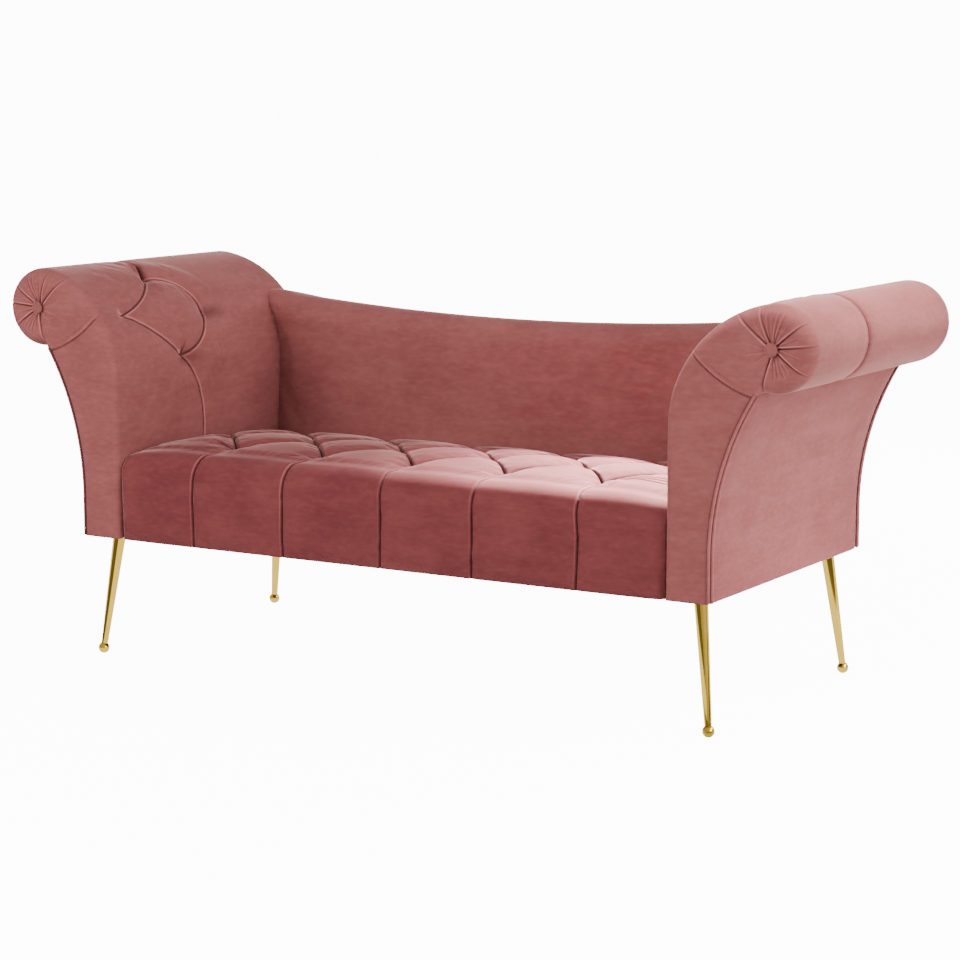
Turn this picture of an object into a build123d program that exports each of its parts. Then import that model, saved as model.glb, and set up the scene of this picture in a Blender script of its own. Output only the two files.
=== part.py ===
from build123d import *
import os
from math import acos, atan2, cos, floor, hypot, pi, radians, sin, sqrt

# A two-ended chaise longue. X runs along the seat, -Y is the front, Z is up, and the origin is on
# the floor under the middle of the body. Left and right are as seen from the front. Millimetres.

# Body
seat_width = 1178.0         # between the arms at the seat
body_depth = 650.0          # front facing to rear facing of an arm
body_bottom = 238.0         # underside of the upholstery above the floor
part_gap = 0.5              # between the arm upholstery and the seat or the back
soft_gap = 0.3              # between a soft curved face and what it lies on
skin = 3.0                  # cover pulled straight over timber

# Arm outline, in a plane across the arm: distance out from the inside face, and height
arm_width = 86.0            # the arm at its foot
shoulder_height = 540.0     # where the inside face starts to roll outwards
roll_radius = 76.0
roll_offset = 192.0         # roll centre out from the inside face
roll_height = 678.0         # roll centre above the floor
neck_angle = 107.0          # outside panel meets the roll this far round below its outer side
flare_height = 320.0        # where the outside panel starts to curve outwards

# Arm upholstery
arm_cover_thick = 22.0      # velvet with its wadding
arm_foam_thick = 15.0
arm_foam_stop = 15.0        # foam ends this many degrees before the neck
arm_board_thick = 3.0
arm_board_reach = 0.9       # lining board, as a share of the curved inside face
arm_panel_thick = 6.0       # outside panel, velvet over board
facing_thick = 14.0
facing_edge = 14.0          # rounding of the facing's inside edge
front_roll_edge = 28.0      # rounding of the roll's front end
rear_edge = 12.0
rear_roll_edge = 45.0
arm_tuft_front = 75.0       # front tuft behind the facing
arm_tuft_middle = 225.0     # top and bottom tufts behind the facing
arm_tuft_rear = 329.0       # rear tuft behind the facing
arm_tuft_low = 0.12         # tufts up the curved inside face, as shares of its sweep
arm_tuft_side = 0.415
arm_tuft_top = 0.715
arm_tuft_depth = 13.0
arm_pleat_depth = 5.0
arm_tuft_fade = 32.0        # pleats die out this far past the outer tufts
arm_steps = (1.0, 0.9, 0.7, 0.5, 0.3, 0.1)  # sections from an outer tuft to the middle ones, as shares
gather_count = 10
gather_width = 6.0
gather_depth = 4.0
button_diameter = 24.0
button_thick = 7.5
button_rim = 2.5
welt_cord = 6.0             # width of one cord of the welt
welt_height = 2.4
welt_base = 1.0             # sewn flange under the cords
welt_stop = 12.0            # welt ends this far below the neck

# Seat upholstery
seat_front_height = 438.0   # crest of the puffs, carried to the front and to the rear edge
seat_rear_height = 408.0
front_swell = 5.5           # front face stands out between its pleats
front_crown = 1.5           # crown of the front face in a pleat
front_round = 42.0          # depth of the rounded front edge
front_fall = 62.0           # height of the rounded front edge
tuft_pitch = 200.0          # along the seat
tuft_front = 105.0          # first row behind the facing plane
tuft_step = 146.0           # row to row
tuft_spot = 8.0             # flat stitched spot at a tuft
tuft_flank = 12.0           # pleats rise from a tuft over this length
tuft_depth = 24.0
pleat_depth = 12.0
front_pleat_depth = 9.0     # where a pleat runs over the rounded front edge
lip_drop = 9.0              # rounded front edge and rear edge below the crest
rear_drop = 18.0
slope_steps = (0.36, 0.64)  # sections between two tuft columns, as shares of their distance
puff_rise = 0.08            # rise of a puff for its width
rear_puff_rise = 0.14
edge_drop = 14.0            # seat drawn in along the arms
edge_reach = 60.0
seat_side_thick = 12.0
seat_top_thick = 10.0       # cover under a tuft
tie_diameter = 3.0          # twine that holds a tuft down
tie_gap = 0.3

# Back
back_mid_height = 646.0
back_rise = 37.0            # top edge rises from the middle to the arms
back_depth_low = 135.0      # front face ahead of the arms' rear facings, at its foot, middle and top
back_depth_mid = 117.0
back_depth_high = 109.0
back_recess = 7.0           # outside back inside the arms' rear facings
back_side_thick = 19.0
back_top_thick = 32.0
back_foam_thick = 37.0
back_board_thick = 3.0
back_panel_thick = 6.0
back_spans = 10             # straight spans that make up the dipped top edge

# Timber
rail_thick = 25.0
rail_height = 90.0
ply_thick = 15.0
leg_rail_height = 40.0
bearer_height = 60.0
bearer_spacing = 420.0
corner_block = 60.0
corner_block_height = 50.0
tack_rail_height = 40.0
neck_rail_height = 30.0
neck_rail_drop = 20.0       # neck rail below the neck
roll_rail_diameter = 56.0
post_width = 25.0
post_depth = 44.0
post_spacing = 280.0        # between the two middle posts
top_rail_height = 54.0      # at the middle of the dipped top rail

# Webbing
strap_width = 60.0
strap_thick = 2.0
strap_pitch = 140.0
cross_straps = 8
long_straps = 4
long_strap_pitch = 110.0

# Legs and fasteners
leg_top_diameter = 25.0
leg_foot_diameter = 13.0
leg_wall = 1.2
leg_splay_x = 28.0          # foot out from the leg's top
leg_splay_y = 22.0
leg_setback = 57.0          # leg's top behind the facing
ball_diameter = 22.0
ball_flat = 0.4             # cut off the ball where it stands
spigot_length = 18.0
spigot_gap = 0.1
plate_size = 58.0
plate_thick = 3.0
plate_corner = 8.0
screw_spacing = 42.0
screw_diameter = 4.0
screw_head = 8.0
screw_head_height = 2.2
screw_length = 22.0
screw_gap = 0.1
bolt_diameter = 8.0
bolt_head = 13.0
bolt_head_height = 5.5
bolt_grip = 40.0            # thread in the arm's bottom rail
bolt_gap = 0.3
bolt_clear = 36.0           # bolt's axis past a corner block
dust_cover_thick = 1.0
cut_margin = 1.0            # cuts run this far past a face
rounding = 1e-9

# Places that follow from the sizes above
half_seat = seat_width / 2
front = -body_depth / 2
rear = body_depth / 2
timber_bottom = body_bottom + plate_thick
rail_top = timber_bottom + rail_height
strap_top = rail_top + 2 * strap_thick
seat_depth = body_depth - back_depth_low
seat_rear = front + seat_depth
cavity_front = front + facing_thick
cavity_rear = rear - facing_thick
back_rear = rear - back_recess
post_rear = back_rear - back_panel_thick
post_front = post_rear - post_depth
board_front = post_front - back_board_thick
back_front = board_front - back_foam_thick
frame_front = cavity_front + rail_thick
frame_rear = post_rear - rail_thick
rail_out = half_seat - skin
roll_drop = roll_height - shoulder_height
arc_radius = (roll_drop**2 + roll_offset**2 - roll_radius**2) / (2 * (roll_offset - roll_radius))
arc_end = atan2(roll_drop, arc_radius - roll_offset)
neck_out = roll_offset + roll_radius * cos(radians(neck_angle))
neck_height = roll_height - roll_radius * sin(radians(neck_angle))
flare_reach = neck_out - arm_width
flare_radius = (flare_reach**2 + (neck_height - flare_height) ** 2) / (2 * flare_reach)
flare_out = arm_width + flare_radius
ply_inset = arm_cover_thick + arm_foam_thick + arm_board_thick + soft_gap
nodes = {}


def line(a, b):
    return Edge.make_line(a, b)


def arc(a, b, c):
    return Edge.make_three_point_arc(a, b, c)


def prism(face, direction):
    return Solid.extrude(face, Vector(*direction))


def block(low, high):
    size = [b - a for a, b in zip(low, high)]
    return Pos(*low) * Box(*size, align=(Align.MIN, Align.MIN, Align.MIN))


def keep(name, shape):
    nodes[name] = shape


def keep_pair(name, right_piece):
    keep("right_" + name, right_piece)
    keep("left_" + name, mirror(right_piece, about=Plane.YZ))


# Points of the right arm's outline, as distance out and height

def on_inside(angle, inset):
    radius = arc_radius - inset
    return arc_radius - radius * cos(angle), shoulder_height + radius * sin(angle)


def on_roll(angle, inset):
    radius = roll_radius - inset
    return roll_offset + radius * cos(angle), roll_height + radius * sin(angle)


def flare_at(height, inset):
    return flare_out - sqrt((flare_radius + inset) ** 2 - (height - flare_height) ** 2)


def neck_turn(inset, panel_inset):
    # angle round the roll at which the inset roll meets the inset outside panel
    span = hypot(flare_out - roll_offset, roll_height - flare_height)
    small = roll_radius - inset
    along = (small**2 + span**2 - (flare_radius + panel_inset) ** 2) / (2 * span)
    return atan2(flare_height - roll_height, flare_out - roll_offset) - acos(along / small)


def arm_point(place, y):
    return Vector(half_seat + place[0], y, place[1])


def arm_wire(y, line_inset, roll_inset, low=None, high=None, depth=0.0, panel_inset=0.0):
    # Outline across the arm at y. low and high are the angles of the two pleats on the inside face,
    # sunk by depth, with a puff between them.
    if low is None:
        low = arc_end / 3
        high = 2 * arc_end / 3

    def inside(angle, sink=0.0):
        blend = angle / arc_end
        inset = line_inset * (1 - blend) + roll_inset * blend
        return arm_point(on_inside(angle, inset + sink), y)

    start = arm_point((line_inset, shoulder_height), y)
    puff = depth - puff_rise * (high - low) * arc_radius if depth else 0.0
    turn_in = pi - arc_end
    turn_out = neck_turn(roll_inset, panel_inset)
    side = 0.0
    top = arm_point(on_roll(turn_in, roll_inset), y)
    out = arm_point(on_roll(side, roll_inset), y)
    neck = arm_point(on_roll(turn_out, roll_inset), y)
    flare_mid = (neck.Z + flare_height) / 2
    foot_out = arm_width - panel_inset
    foot = arm_point((line_inset, body_bottom), y)
    return Wire([
        line(arm_point((foot_out, body_bottom), y), foot),
        line(foot, start),
        arc(start, inside(low / 2), inside(low, depth)),
        arc(inside(low, depth), inside((low + high) / 2, puff), inside(high, depth)),
        arc(inside(high, depth), inside((high + arc_end) / 2, depth / 4), top),
        arc(top, arm_point(on_roll((turn_in + side) / 2, roll_inset), y), out),
        arc(out, arm_point(on_roll((side + turn_out) / 2, roll_inset), y), neck),
        arc(neck, arm_point((flare_at(flare_mid, panel_inset), flare_mid), y),
            arm_point((foot_out, flare_height), y)),
        line(arm_point((foot_out, flare_height), y), arm_point((foot_out, body_bottom), y)),
    ])


def arm_prism(inset, panel_inset, y_start, y_end):
    face = Face(arm_wire(y_start, inset, inset, panel_inset=panel_inset))
    return prism(face, (0, y_end - y_start, 0))


# Arm cover: sections from the front facing to the rear, with the tufts on the inside face

def edge_sections(face_y, step_in, line_edge, roll_edge):
    # quarter-round edge of a facing, as (y, line inset, roll inset)
    turns = [0, pi / 6, pi / 3, pi / 2]
    return [(face_y + step_in * roll_edge * (1 - cos(t)),
             line_edge * (1 - sin(t)), roll_edge * (1 - sin(t))) for t in turns]


def arm_cover():
    middle = front + arm_tuft_middle
    ends = [front + arm_tuft_front, front + arm_tuft_rear]
    side_turn = arc_end * arm_tuft_side
    low_turn = arc_end * arm_tuft_low
    high_turn = arc_end * arm_tuft_top
    spot = tuft_spot / 2 / arc_radius

    def tuft_section(y, share, depth, groove):
        # share is 1 at an outer tuft and 0 between the top and bottom tufts
        low = side_turn - spot - (side_turn - spot - low_turn) * (1 - share)
        high = side_turn + spot + (high_turn - side_turn - spot) * (1 - share)
        return arm_wire(y, groove, groove, low, high, depth, arm_panel_thick)

    def plain_section(y, line_inset, roll_inset):
        low = side_turn - spot
        high = side_turn + spot
        return arm_wire(y, line_inset, roll_inset, low, high, 0.0, arm_panel_thick)

    wires = [plain_section(*s) for s in edge_sections(front, 1, facing_edge, front_roll_edge)]
    wires.append(plain_section(ends[0] - arm_tuft_fade, 0, 0))
    for share in arm_steps:
        depth = arm_tuft_depth if share == 1.0 else arm_pleat_depth
        wires.append(tuft_section(middle + (ends[0] - middle) * share, share, depth, 0))
    wires.append(tuft_section(middle, 0.0, arm_tuft_depth, arm_pleat_depth))
    for share in reversed(arm_steps):
        depth = arm_tuft_depth if share == 1.0 else arm_pleat_depth
        wires.append(tuft_section(middle + (ends[1] - middle) * share, share, depth, 0))
    wires.append(plain_section(ends[1] + arm_tuft_fade, 0, 0))
    wires += [plain_section(*s) for s in reversed(edge_sections(rear, -1, rear_edge, rear_roll_edge))]
    cover = Solid.make_loft(wires, True)

    open_side = arm_panel_thick - cut_margin
    cover -= arm_prism(arm_cover_thick, open_side, cavity_front, cavity_rear)
    cover -= block((half_seat + skin, cavity_front, body_bottom - cut_margin),
                   (half_seat + arm_width, cavity_rear, strap_top))
    return cover - gathers(front, 1) - gathers(rear, -1)


def gathers(face_y, step_in):
    # V-shaped gathers drawn to the button, and the fold across the facing at the neck
    reach = gather_width / 2 * (1 + cut_margin / gather_depth)
    groove = make_face(Polyline((-reach, cut_margin), (reach, cut_margin), (0, -gather_depth), close=True))
    centre = Vector(half_seat + roll_offset, face_y, roll_height)
    cuts = []
    for k in range(gather_count):
        turn = 2 * pi * (k + 0.5) / gather_count
        way = Vector(cos(turn), 0, sin(turn))
        sideways = way.cross(Vector(0, step_in, 0))
        plane = Plane(origin=centre + way * (button_diameter / 2), x_dir=sideways, z_dir=way)
        cuts.append(extrude(plane * groove, amount=roll_radius))
    start = arm_point(on_inside(arc_end * arm_tuft_side, 0), face_y)
    end = arm_point((neck_out, neck_height), face_y)
    fold = (end - start).normalized()
    plane = Plane(origin=start, x_dir=fold.cross(Vector(0, step_in, 0)), z_dir=fold)
    cuts.append(extrude(plane * groove, amount=(end - start).length))
    return cuts


def arm_band(inset, thick, foot_height, end_turn, y_start, y_end):
    # sheet of the given thickness along the inside face, from its foot to an angle round the arm:
    # up to arc_end it stays on the inside face, past it goes on round the roll
    outer = inset + thick
    roll_turn = pi - arc_end
    side = 0.0

    def path(depth):
        foot = arm_point((depth, foot_height), y_start)
        knee = arm_point((depth, shoulder_height), y_start)
        if end_turn <= arc_end:
            tip = arm_point(on_inside(end_turn, depth), y_start)
            return [line(foot, knee), arc(knee, arm_point(on_inside(end_turn / 2, depth), y_start), tip)]
        top = arm_point(on_roll(roll_turn, depth), y_start)
        out = arm_point(on_roll(side, depth), y_start)
        last = roll_turn - (end_turn - arc_end)
        tip = arm_point(on_roll(last, depth), y_start)
        return [line(foot, knee), arc(knee, arm_point(on_inside(arc_end / 2, depth), y_start), top),
                arc(top, arm_point(on_roll((roll_turn + side) / 2, depth), y_start), out),
                arc(out, arm_point(on_roll((side + last) / 2, depth), y_start), tip)]

    near = path(inset)
    far = path(outer)
    ends = [line(near[0] @ 0, far[0] @ 0), line(near[-1] @ 1, far[-1] @ 1)]
    return prism(Face(Wire(near + far + ends)), (0, y_end - y_start, 0))


def arm_timber_outline(y_start, y_end):
    # scroll panel: the stem between the inside and the outside face, and the disc of the roll
    inset = ply_inset
    stem_top = arm_point(on_roll(pi - arc_end, inset), y_start)
    centre = arm_point((roll_offset, roll_height), y_start)
    foot = arm_point((inset, strap_top), y_start)
    knee = arm_point((inset, shoulder_height), y_start)
    corner = half_seat + arm_width - arm_panel_thick - soft_gap
    far = Vector(centre.X, y_start, strap_top)
    stem = Face(Wire([
        line(foot, knee),
        arc(knee, arm_point(on_inside(arc_end / 2, inset), y_start), stem_top),
        line(stem_top, centre),
        line(centre, far),
        line(far, foot),
    ]))
    across = (0, y_end - y_start, 0)
    flare_centre = Vector(half_seat + flare_out, y_start, flare_height)
    outside = Plane(origin=flare_centre, x_dir=(1, 0, 0), z_dir=(0, 1, 0)) * Circle(
        flare_radius + arm_panel_thick + soft_gap)
    disc = Plane(origin=centre, x_dir=(1, 0, 0), z_dir=(0, 1, 0)) * Circle(roll_radius - inset)
    depth = y_end - y_start
    panel = prism(stem, across) - extrude(outside, amount=depth) + extrude(disc, amount=depth)
    foot_low = (half_seat + skin, y_start, timber_bottom)
    foot_high = (corner, y_end, strap_top)
    return panel + block(foot_low, foot_high)


def arm_outside_panel():
    # curved panel between the welts, from the bottom edge up under the roll
    y_start = cavity_front
    turn = neck_turn(-soft_gap, 0)
    turn_back = neck_turn(-soft_gap, arm_panel_thick - soft_gap)
    outer_top = arm_point(on_roll(turn, -soft_gap), y_start)
    inner_top = arm_point(on_roll(turn_back, -soft_gap), y_start)

    def face_edges(top, inset):
        mid = (top.Z + flare_height) / 2
        knee = arm_point((arm_width - inset, flare_height), y_start)
        foot = arm_point((arm_width - inset, body_bottom), y_start)
        return [arc(top, arm_point((flare_at(mid, inset), mid), y_start), knee), line(knee, foot)]

    outer = face_edges(outer_top, 0)
    inner = face_edges(inner_top, arm_panel_thick - soft_gap)
    ends = [line(outer_top, inner_top), line(outer[-1] @ 1, inner[-1] @ 1)]
    return prism(Face(Wire(outer + inner + ends)), (0, cavity_rear - cavity_front, 0))


def welt(y_start, cords):
    # flat-backed sewn cords laid along the outer edge, between the facing and the outside panel
    inset = arm_panel_thick - soft_gap
    top_height = neck_height - welt_stop
    mid = (top_height + flare_height) / 2
    knee = arm_point((arm_width - inset, flare_height), y_start)
    foot = arm_point((arm_width - inset, body_bottom), y_start)
    tip = arm_point((flare_at(top_height, inset), top_height), y_start)
    path = Wire([line(foot, knee), arc(knee, arm_point((flare_at(mid, inset), mid), y_start), tip)])

    def place(along, out):
        return foot + Vector(out, along, 0)

    width = cords * welt_cord
    edges = [line(place(0, 0), place(0, welt_base))]
    for k in range(cords):
        begin = k * welt_cord
        edges.append(arc(place(begin, welt_base), place(begin + welt_cord / 2, welt_base + welt_height),
                         place(begin + welt_cord, welt_base)))
    edges += [line(place(width, welt_base), place(width, 0)), line(place(width, 0), place(0, 0))]
    return sweep(Face(Wire(edges)), path=path)


# Seat cover: sections along the seat, with zigzag pleats that meet at the tufts

def crest(y):
    share = (y - front) / seat_depth
    return seat_front_height + (seat_rear_height - seat_front_height) * share


def seat_wire(x):
    half_pitch = tuft_pitch / 2
    count = abs(x) / half_pitch
    column = floor(count + rounding)
    share = count - column if column % 2 == 0 else 1 - (count - column)
    nearest = min(share, 1 - share)
    blend = max(0.0, 1 - nearest * half_pitch / tuft_flank)
    at_front_pleat = max(0.0, 1 - share * half_pitch / tuft_flank)
    edge = max(0.0, 1 - (half_seat - abs(x)) / edge_reach) ** 2
    sink = (pleat_depth + (tuft_depth - pleat_depth) * blend) * (1 - edge) + edge_drop * edge
    lift = -edge_drop * edge
    row = [front + tuft_front + k * tuft_step for k in range(3)]
    last_row = min(row[2] + tuft_step, seat_rear - tuft_spot)
    spot = tuft_spot / 2
    pleats = [row[0] + (row[1] - spot - row[0]) * share,
              row[2] - spot + (row[1] + spot - row[2] + spot) * share,
              row[2] + spot + (last_row - row[2] - spot) * share]

    def place(y, z):
        return Vector(x, y, z)

    creases = [place(y, crest(y) - sink + lift / 2) for y in pleats]
    face_y = front - front_swell * (1 - at_front_pleat) * (1 - edge)
    brow = place(face_y, seat_front_height - front_fall + lift)
    lip_y = front + front_round
    lip = place(lip_y, crest(lip_y) - lip_drop - front_pleat_depth * at_front_pleat + lift / 2)
    rear_edge_top = place(seat_rear, crest(seat_rear) - rear_drop + lift / 2)
    diagonal = cos(pi / 4)
    brow_mid = place(lip.Y + (brow.Y - lip.Y) * diagonal, brow.Z + (lip.Z - brow.Z) * diagonal)
    foot = place(front, body_bottom)
    foot_mid = place(brow.Y - front_crown, (foot.Z + brow.Z) / 2)
    heel = place(seat_rear, body_bottom)

    def puff(a, b, rise):
        return arc(a, (a + b) * 0.5 + Vector(0, 0, rise * abs(b.Y - a.Y)), b)

    return Wire([
        line(heel, foot),
        arc(foot, foot_mid, brow),
        arc(brow, brow_mid, lip),
        puff(lip, creases[0], puff_rise),
        puff(creases[0], creases[1], puff_rise),
        puff(creases[1], creases[2], puff_rise),
        puff(creases[2], rear_edge_top, rear_puff_rise),
        line(rear_edge_top, heel),
    ])


def seat_places():
    # section places: each tuft column, its flanks and the slopes between, then the seat's ends
    half_pitch = tuft_pitch / 2
    end = half_seat - part_gap
    slopes = [share * half_pitch for share in slope_steps]
    steps = [0, tuft_flank] + slopes + [half_pitch - tuft_flank]
    columns = floor(end / half_pitch) + 1
    right = [k * half_pitch + s for k in range(columns) for s in steps]
    right = [x for x in right if x < end - tuft_spot] + [end]
    return [-x for x in reversed(right[1:])] + right


def seat_foam_outline(x):
    # foam block seen from its end: flat bottom on the webbing, sloped top, eased front edge
    drop = tuft_depth + seat_top_thick
    lip_y = front + front_round
    heel_y = seat_rear - seat_side_thick
    points = [(cavity_front, strap_top), (cavity_front, seat_front_height - front_fall),
              (lip_y, crest(lip_y) - drop), (heel_y, crest(heel_y) - drop), (heel_y, strap_top)]
    return Face(Wire.make_polygon([Vector(x, y, z) for y, z in points]))


def tuft_places():
    half_pitch = tuft_pitch / 2
    columns = floor((half_seat - part_gap - seat_side_thick) / half_pitch)
    return [(k * half_pitch, front + tuft_front + r * tuft_step)
            for k in range(-columns, columns + 1) for r in range(3) if (k + r) % 2 == 0]


def seat_pieces():
    foam_half = half_seat - part_gap - seat_side_thick
    foam = prism(seat_foam_outline(-foam_half), (2 * foam_half, 0, 0))
    ties = []
    tie_holes = []
    for x, y in tuft_places():
        top = crest(y) - tuft_depth - seat_top_thick
        up = (Align.CENTER, Align.CENTER, Align.MIN)
        height = top - strap_top - tie_gap
        ties.append(Pos(x, y, strap_top) * Cylinder(tie_diameter / 2, height, align=up))
        hole = Cylinder(tie_diameter / 2 + tie_gap, 2 * height, align=up)
        tie_holes.append(Pos(x, y, strap_top) * hole)
    cover = Solid.make_loft([seat_wire(x) for x in seat_places()], True)
    cover = cover - foam - block((-rail_out, cavity_front, body_bottom - cut_margin),
                                 (rail_out, seat_rear + cut_margin, strap_top))
    keep("seat_foam", foam - tie_holes)
    keep("seat_tuft_ties", Compound(ties))
    keep("seat_cover", cover - bolt_holes())


# Seat frame

def bolt_axes():
    height = timber_bottom + leg_rail_height / 2
    past = corner_block + bolt_clear
    return [(side, y, height) for side in (-1, 1) for y in (frame_front + past, frame_rear - past)]


def bolt_body(side, y, height, radius, start, end):
    plane = Plane(origin=(side * start, y, height), x_dir=(0, 1, 0), z_dir=(side, 0, 0))
    return extrude(plane * Circle(radius), amount=end - start)


def bolt_holes():
    inner = rail_out - rail_thick
    tip = half_seat + skin + bolt_grip
    radius = bolt_diameter / 2 + bolt_gap
    return [bolt_body(*axis, radius, inner - cut_margin, tip + bolt_gap) for axis in bolt_axes()]


def seat_frame():
    inner = rail_out - rail_thick
    keep("front_seat_rail", block((-rail_out, cavity_front, timber_bottom),
                                  (rail_out, frame_front, rail_top)))
    keep("rear_seat_rail", block((-rail_out, frame_rear, timber_bottom), (rail_out, post_rear, rail_top)))
    end_rail = block((inner, frame_front, timber_bottom), (rail_out, frame_rear, rail_top + strap_thick))
    keep_pair("end_rail", end_rail - bolt_holes())
    bearer_x = bearer_spacing / 2
    bearers = [block((side * bearer_x - rail_thick / 2, frame_front, timber_bottom),
                     (side * bearer_x + rail_thick / 2, frame_rear, timber_bottom + bearer_height))
               for side in (-1, 1)]
    keep("seat_bearers", Compound(bearers))
    blocks = []
    for sx in (-1, 1):
        for y, sy in ((frame_front, 1), (frame_rear, -1)):
            corner = Vector(sx * inner, y, timber_bottom)
            face = Face(Wire.make_polygon([corner, corner - Vector(sx * corner_block, 0, 0),
                                           corner + Vector(0, sy * corner_block, 0)]))
            blocks.append(extrude(face, amount=corner_block_height, dir=(0, 0, 1)))
    keep("corner_blocks", Compound(blocks))
    bolts = []
    for side, y, height in bolt_axes():
        shank = bolt_body(side, y, height, bolt_diameter / 2, inner, half_seat + skin + bolt_grip)
        head = bolt_body(side, y, height, bolt_head / 2, inner - bolt_head_height, inner)
        bolts.append(shank + head)
    keep("arm_bolts", Compound(bolts))
    keep("dust_cover", block((-rail_out, cavity_front, timber_bottom - dust_cover_thick),
                             (rail_out, post_rear, timber_bottom)))


def webbing():
    cross = []
    for k in range(cross_straps):
        x = (k - (cross_straps - 1) / 2) * strap_pitch
        cross.append(block((x - strap_width / 2, cavity_front, rail_top),
                           (x + strap_width / 2, post_rear, rail_top + strap_thick)))
    keep("cross_webbing", Compound(cross))
    middle = (cavity_front + seat_rear) / 2
    along = []
    for k in range(long_straps):
        y = middle + (k - (long_straps - 1) / 2) * long_strap_pitch
        along.append(block((-rail_out, y - strap_width / 2, rail_top + strap_thick),
                           (rail_out, y + strap_width / 2, strap_top)))
    keep("long_webbing", Compound(along))


# Back

def back_top(x):
    return back_mid_height + back_rise * (x / half_seat) ** 2


def back_wire(x):
    low_y = rear - back_depth_low
    mid_y = rear - back_depth_mid
    high_y = rear - back_depth_high
    radius = (back_rear - high_y) / 2
    top = back_top(x)
    shoulder = top - radius
    diagonal = radius * cos(pi / 4)
    foot = Vector(x, low_y, strap_top)
    heel = Vector(x, back_rear, strap_top)
    brow = Vector(x, high_y, shoulder)
    ridge = Vector(x, high_y + radius, top)
    nape = Vector(x, back_rear, shoulder)
    return Wire([
        line(heel, foot),
        arc(foot, Vector(x, mid_y, (strap_top + shoulder) / 2), brow),
        arc(brow, Vector(x, ridge.Y - diagonal, shoulder + diagonal), ridge),
        arc(ridge, Vector(x, ridge.Y + diagonal, shoulder + diagonal), nape),
        line(nape, heel),
    ])


def back_plate(y_start, y_end, half_width, low, top_gap):
    # sheet across the back with a straight foot and the dipped top edge
    end_top = back_top(half_width) - top_gap
    corners = [Vector(-half_width, y_start, low), Vector(half_width, y_start, low),
               Vector(half_width, y_start, end_top), Vector(-half_width, y_start, end_top)]
    dip = Vector(0, y_start, back_mid_height - top_gap)
    outline = Wire([line(corners[0], corners[1]), line(corners[1], corners[2]),
                    arc(corners[2], dip, corners[3]), line(corners[3], corners[0])])
    return prism(Face(outline), (0, y_end - y_start, 0))


def arm_room():
    # everything from the arm's inside face outwards, which the back stops short of
    foot = arm_point((-part_gap, body_bottom), front)
    knee = arm_point((-part_gap, shoulder_height), front)
    top = arm_point(on_inside(arc_end, -part_gap), front)
    reach = half_seat + 2 * roll_offset
    high = roll_height + 2 * roll_radius
    above = Vector(top.X, front, high)
    far_top = Vector(reach, front, high)
    far_foot = Vector(reach, front, body_bottom)
    outline = Wire([line(foot, knee), arc(knee, arm_point(on_inside(arc_end / 2, -part_gap), front), top),
                    line(top, above), line(above, far_top), line(far_top, far_foot), line(far_foot, foot)])
    return prism(Face(outline), (0, body_depth, 0))


def back_pieces():
    inner_half = half_seat - back_side_thick
    inside_gap = back_top_thick + soft_gap
    side_half = inner_half - soft_gap
    reach = half_seat + roll_offset
    wires = [back_wire(reach * (2 * k / back_spans - 1)) for k in range(back_spans + 1)]
    cover = Solid.make_loft(wires, True)
    cover = cover - arm_room() - mirror(arm_room(), about=Plane.YZ)
    cover -= back_plate(back_front, rear, inner_half, strap_top - cut_margin, back_top_thick)
    keep("back_cover", cover)
    keep("back_foam", back_plate(back_front, board_front, side_half, strap_top, inside_gap))
    keep("back_board", back_plate(board_front, post_front, side_half, strap_top, inside_gap))
    rail_low = back_mid_height - inside_gap - top_rail_height
    keep("back_top_rail", back_plate(post_front, post_rear, side_half, rail_low, inside_gap))
    end_post = rail_out - rail_thick - post_width / 2
    posts = []
    for x in (-end_post, -post_spacing / 2, post_spacing / 2, end_post):
        posts.append(block((x - post_width / 2, post_front, rail_top),
                           (x + post_width / 2, post_rear, rail_low)))
    keep("back_posts", Compound(posts))
    panel = back_plate(post_rear, post_rear + back_panel_thick, side_half, strap_top, inside_gap)
    skirt = block((-half_seat + part_gap, post_rear, body_bottom),
                  (half_seat - part_gap, post_rear + back_panel_thick, strap_top))
    keep("outside_back_panel", panel + skirt)


# Arms

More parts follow.
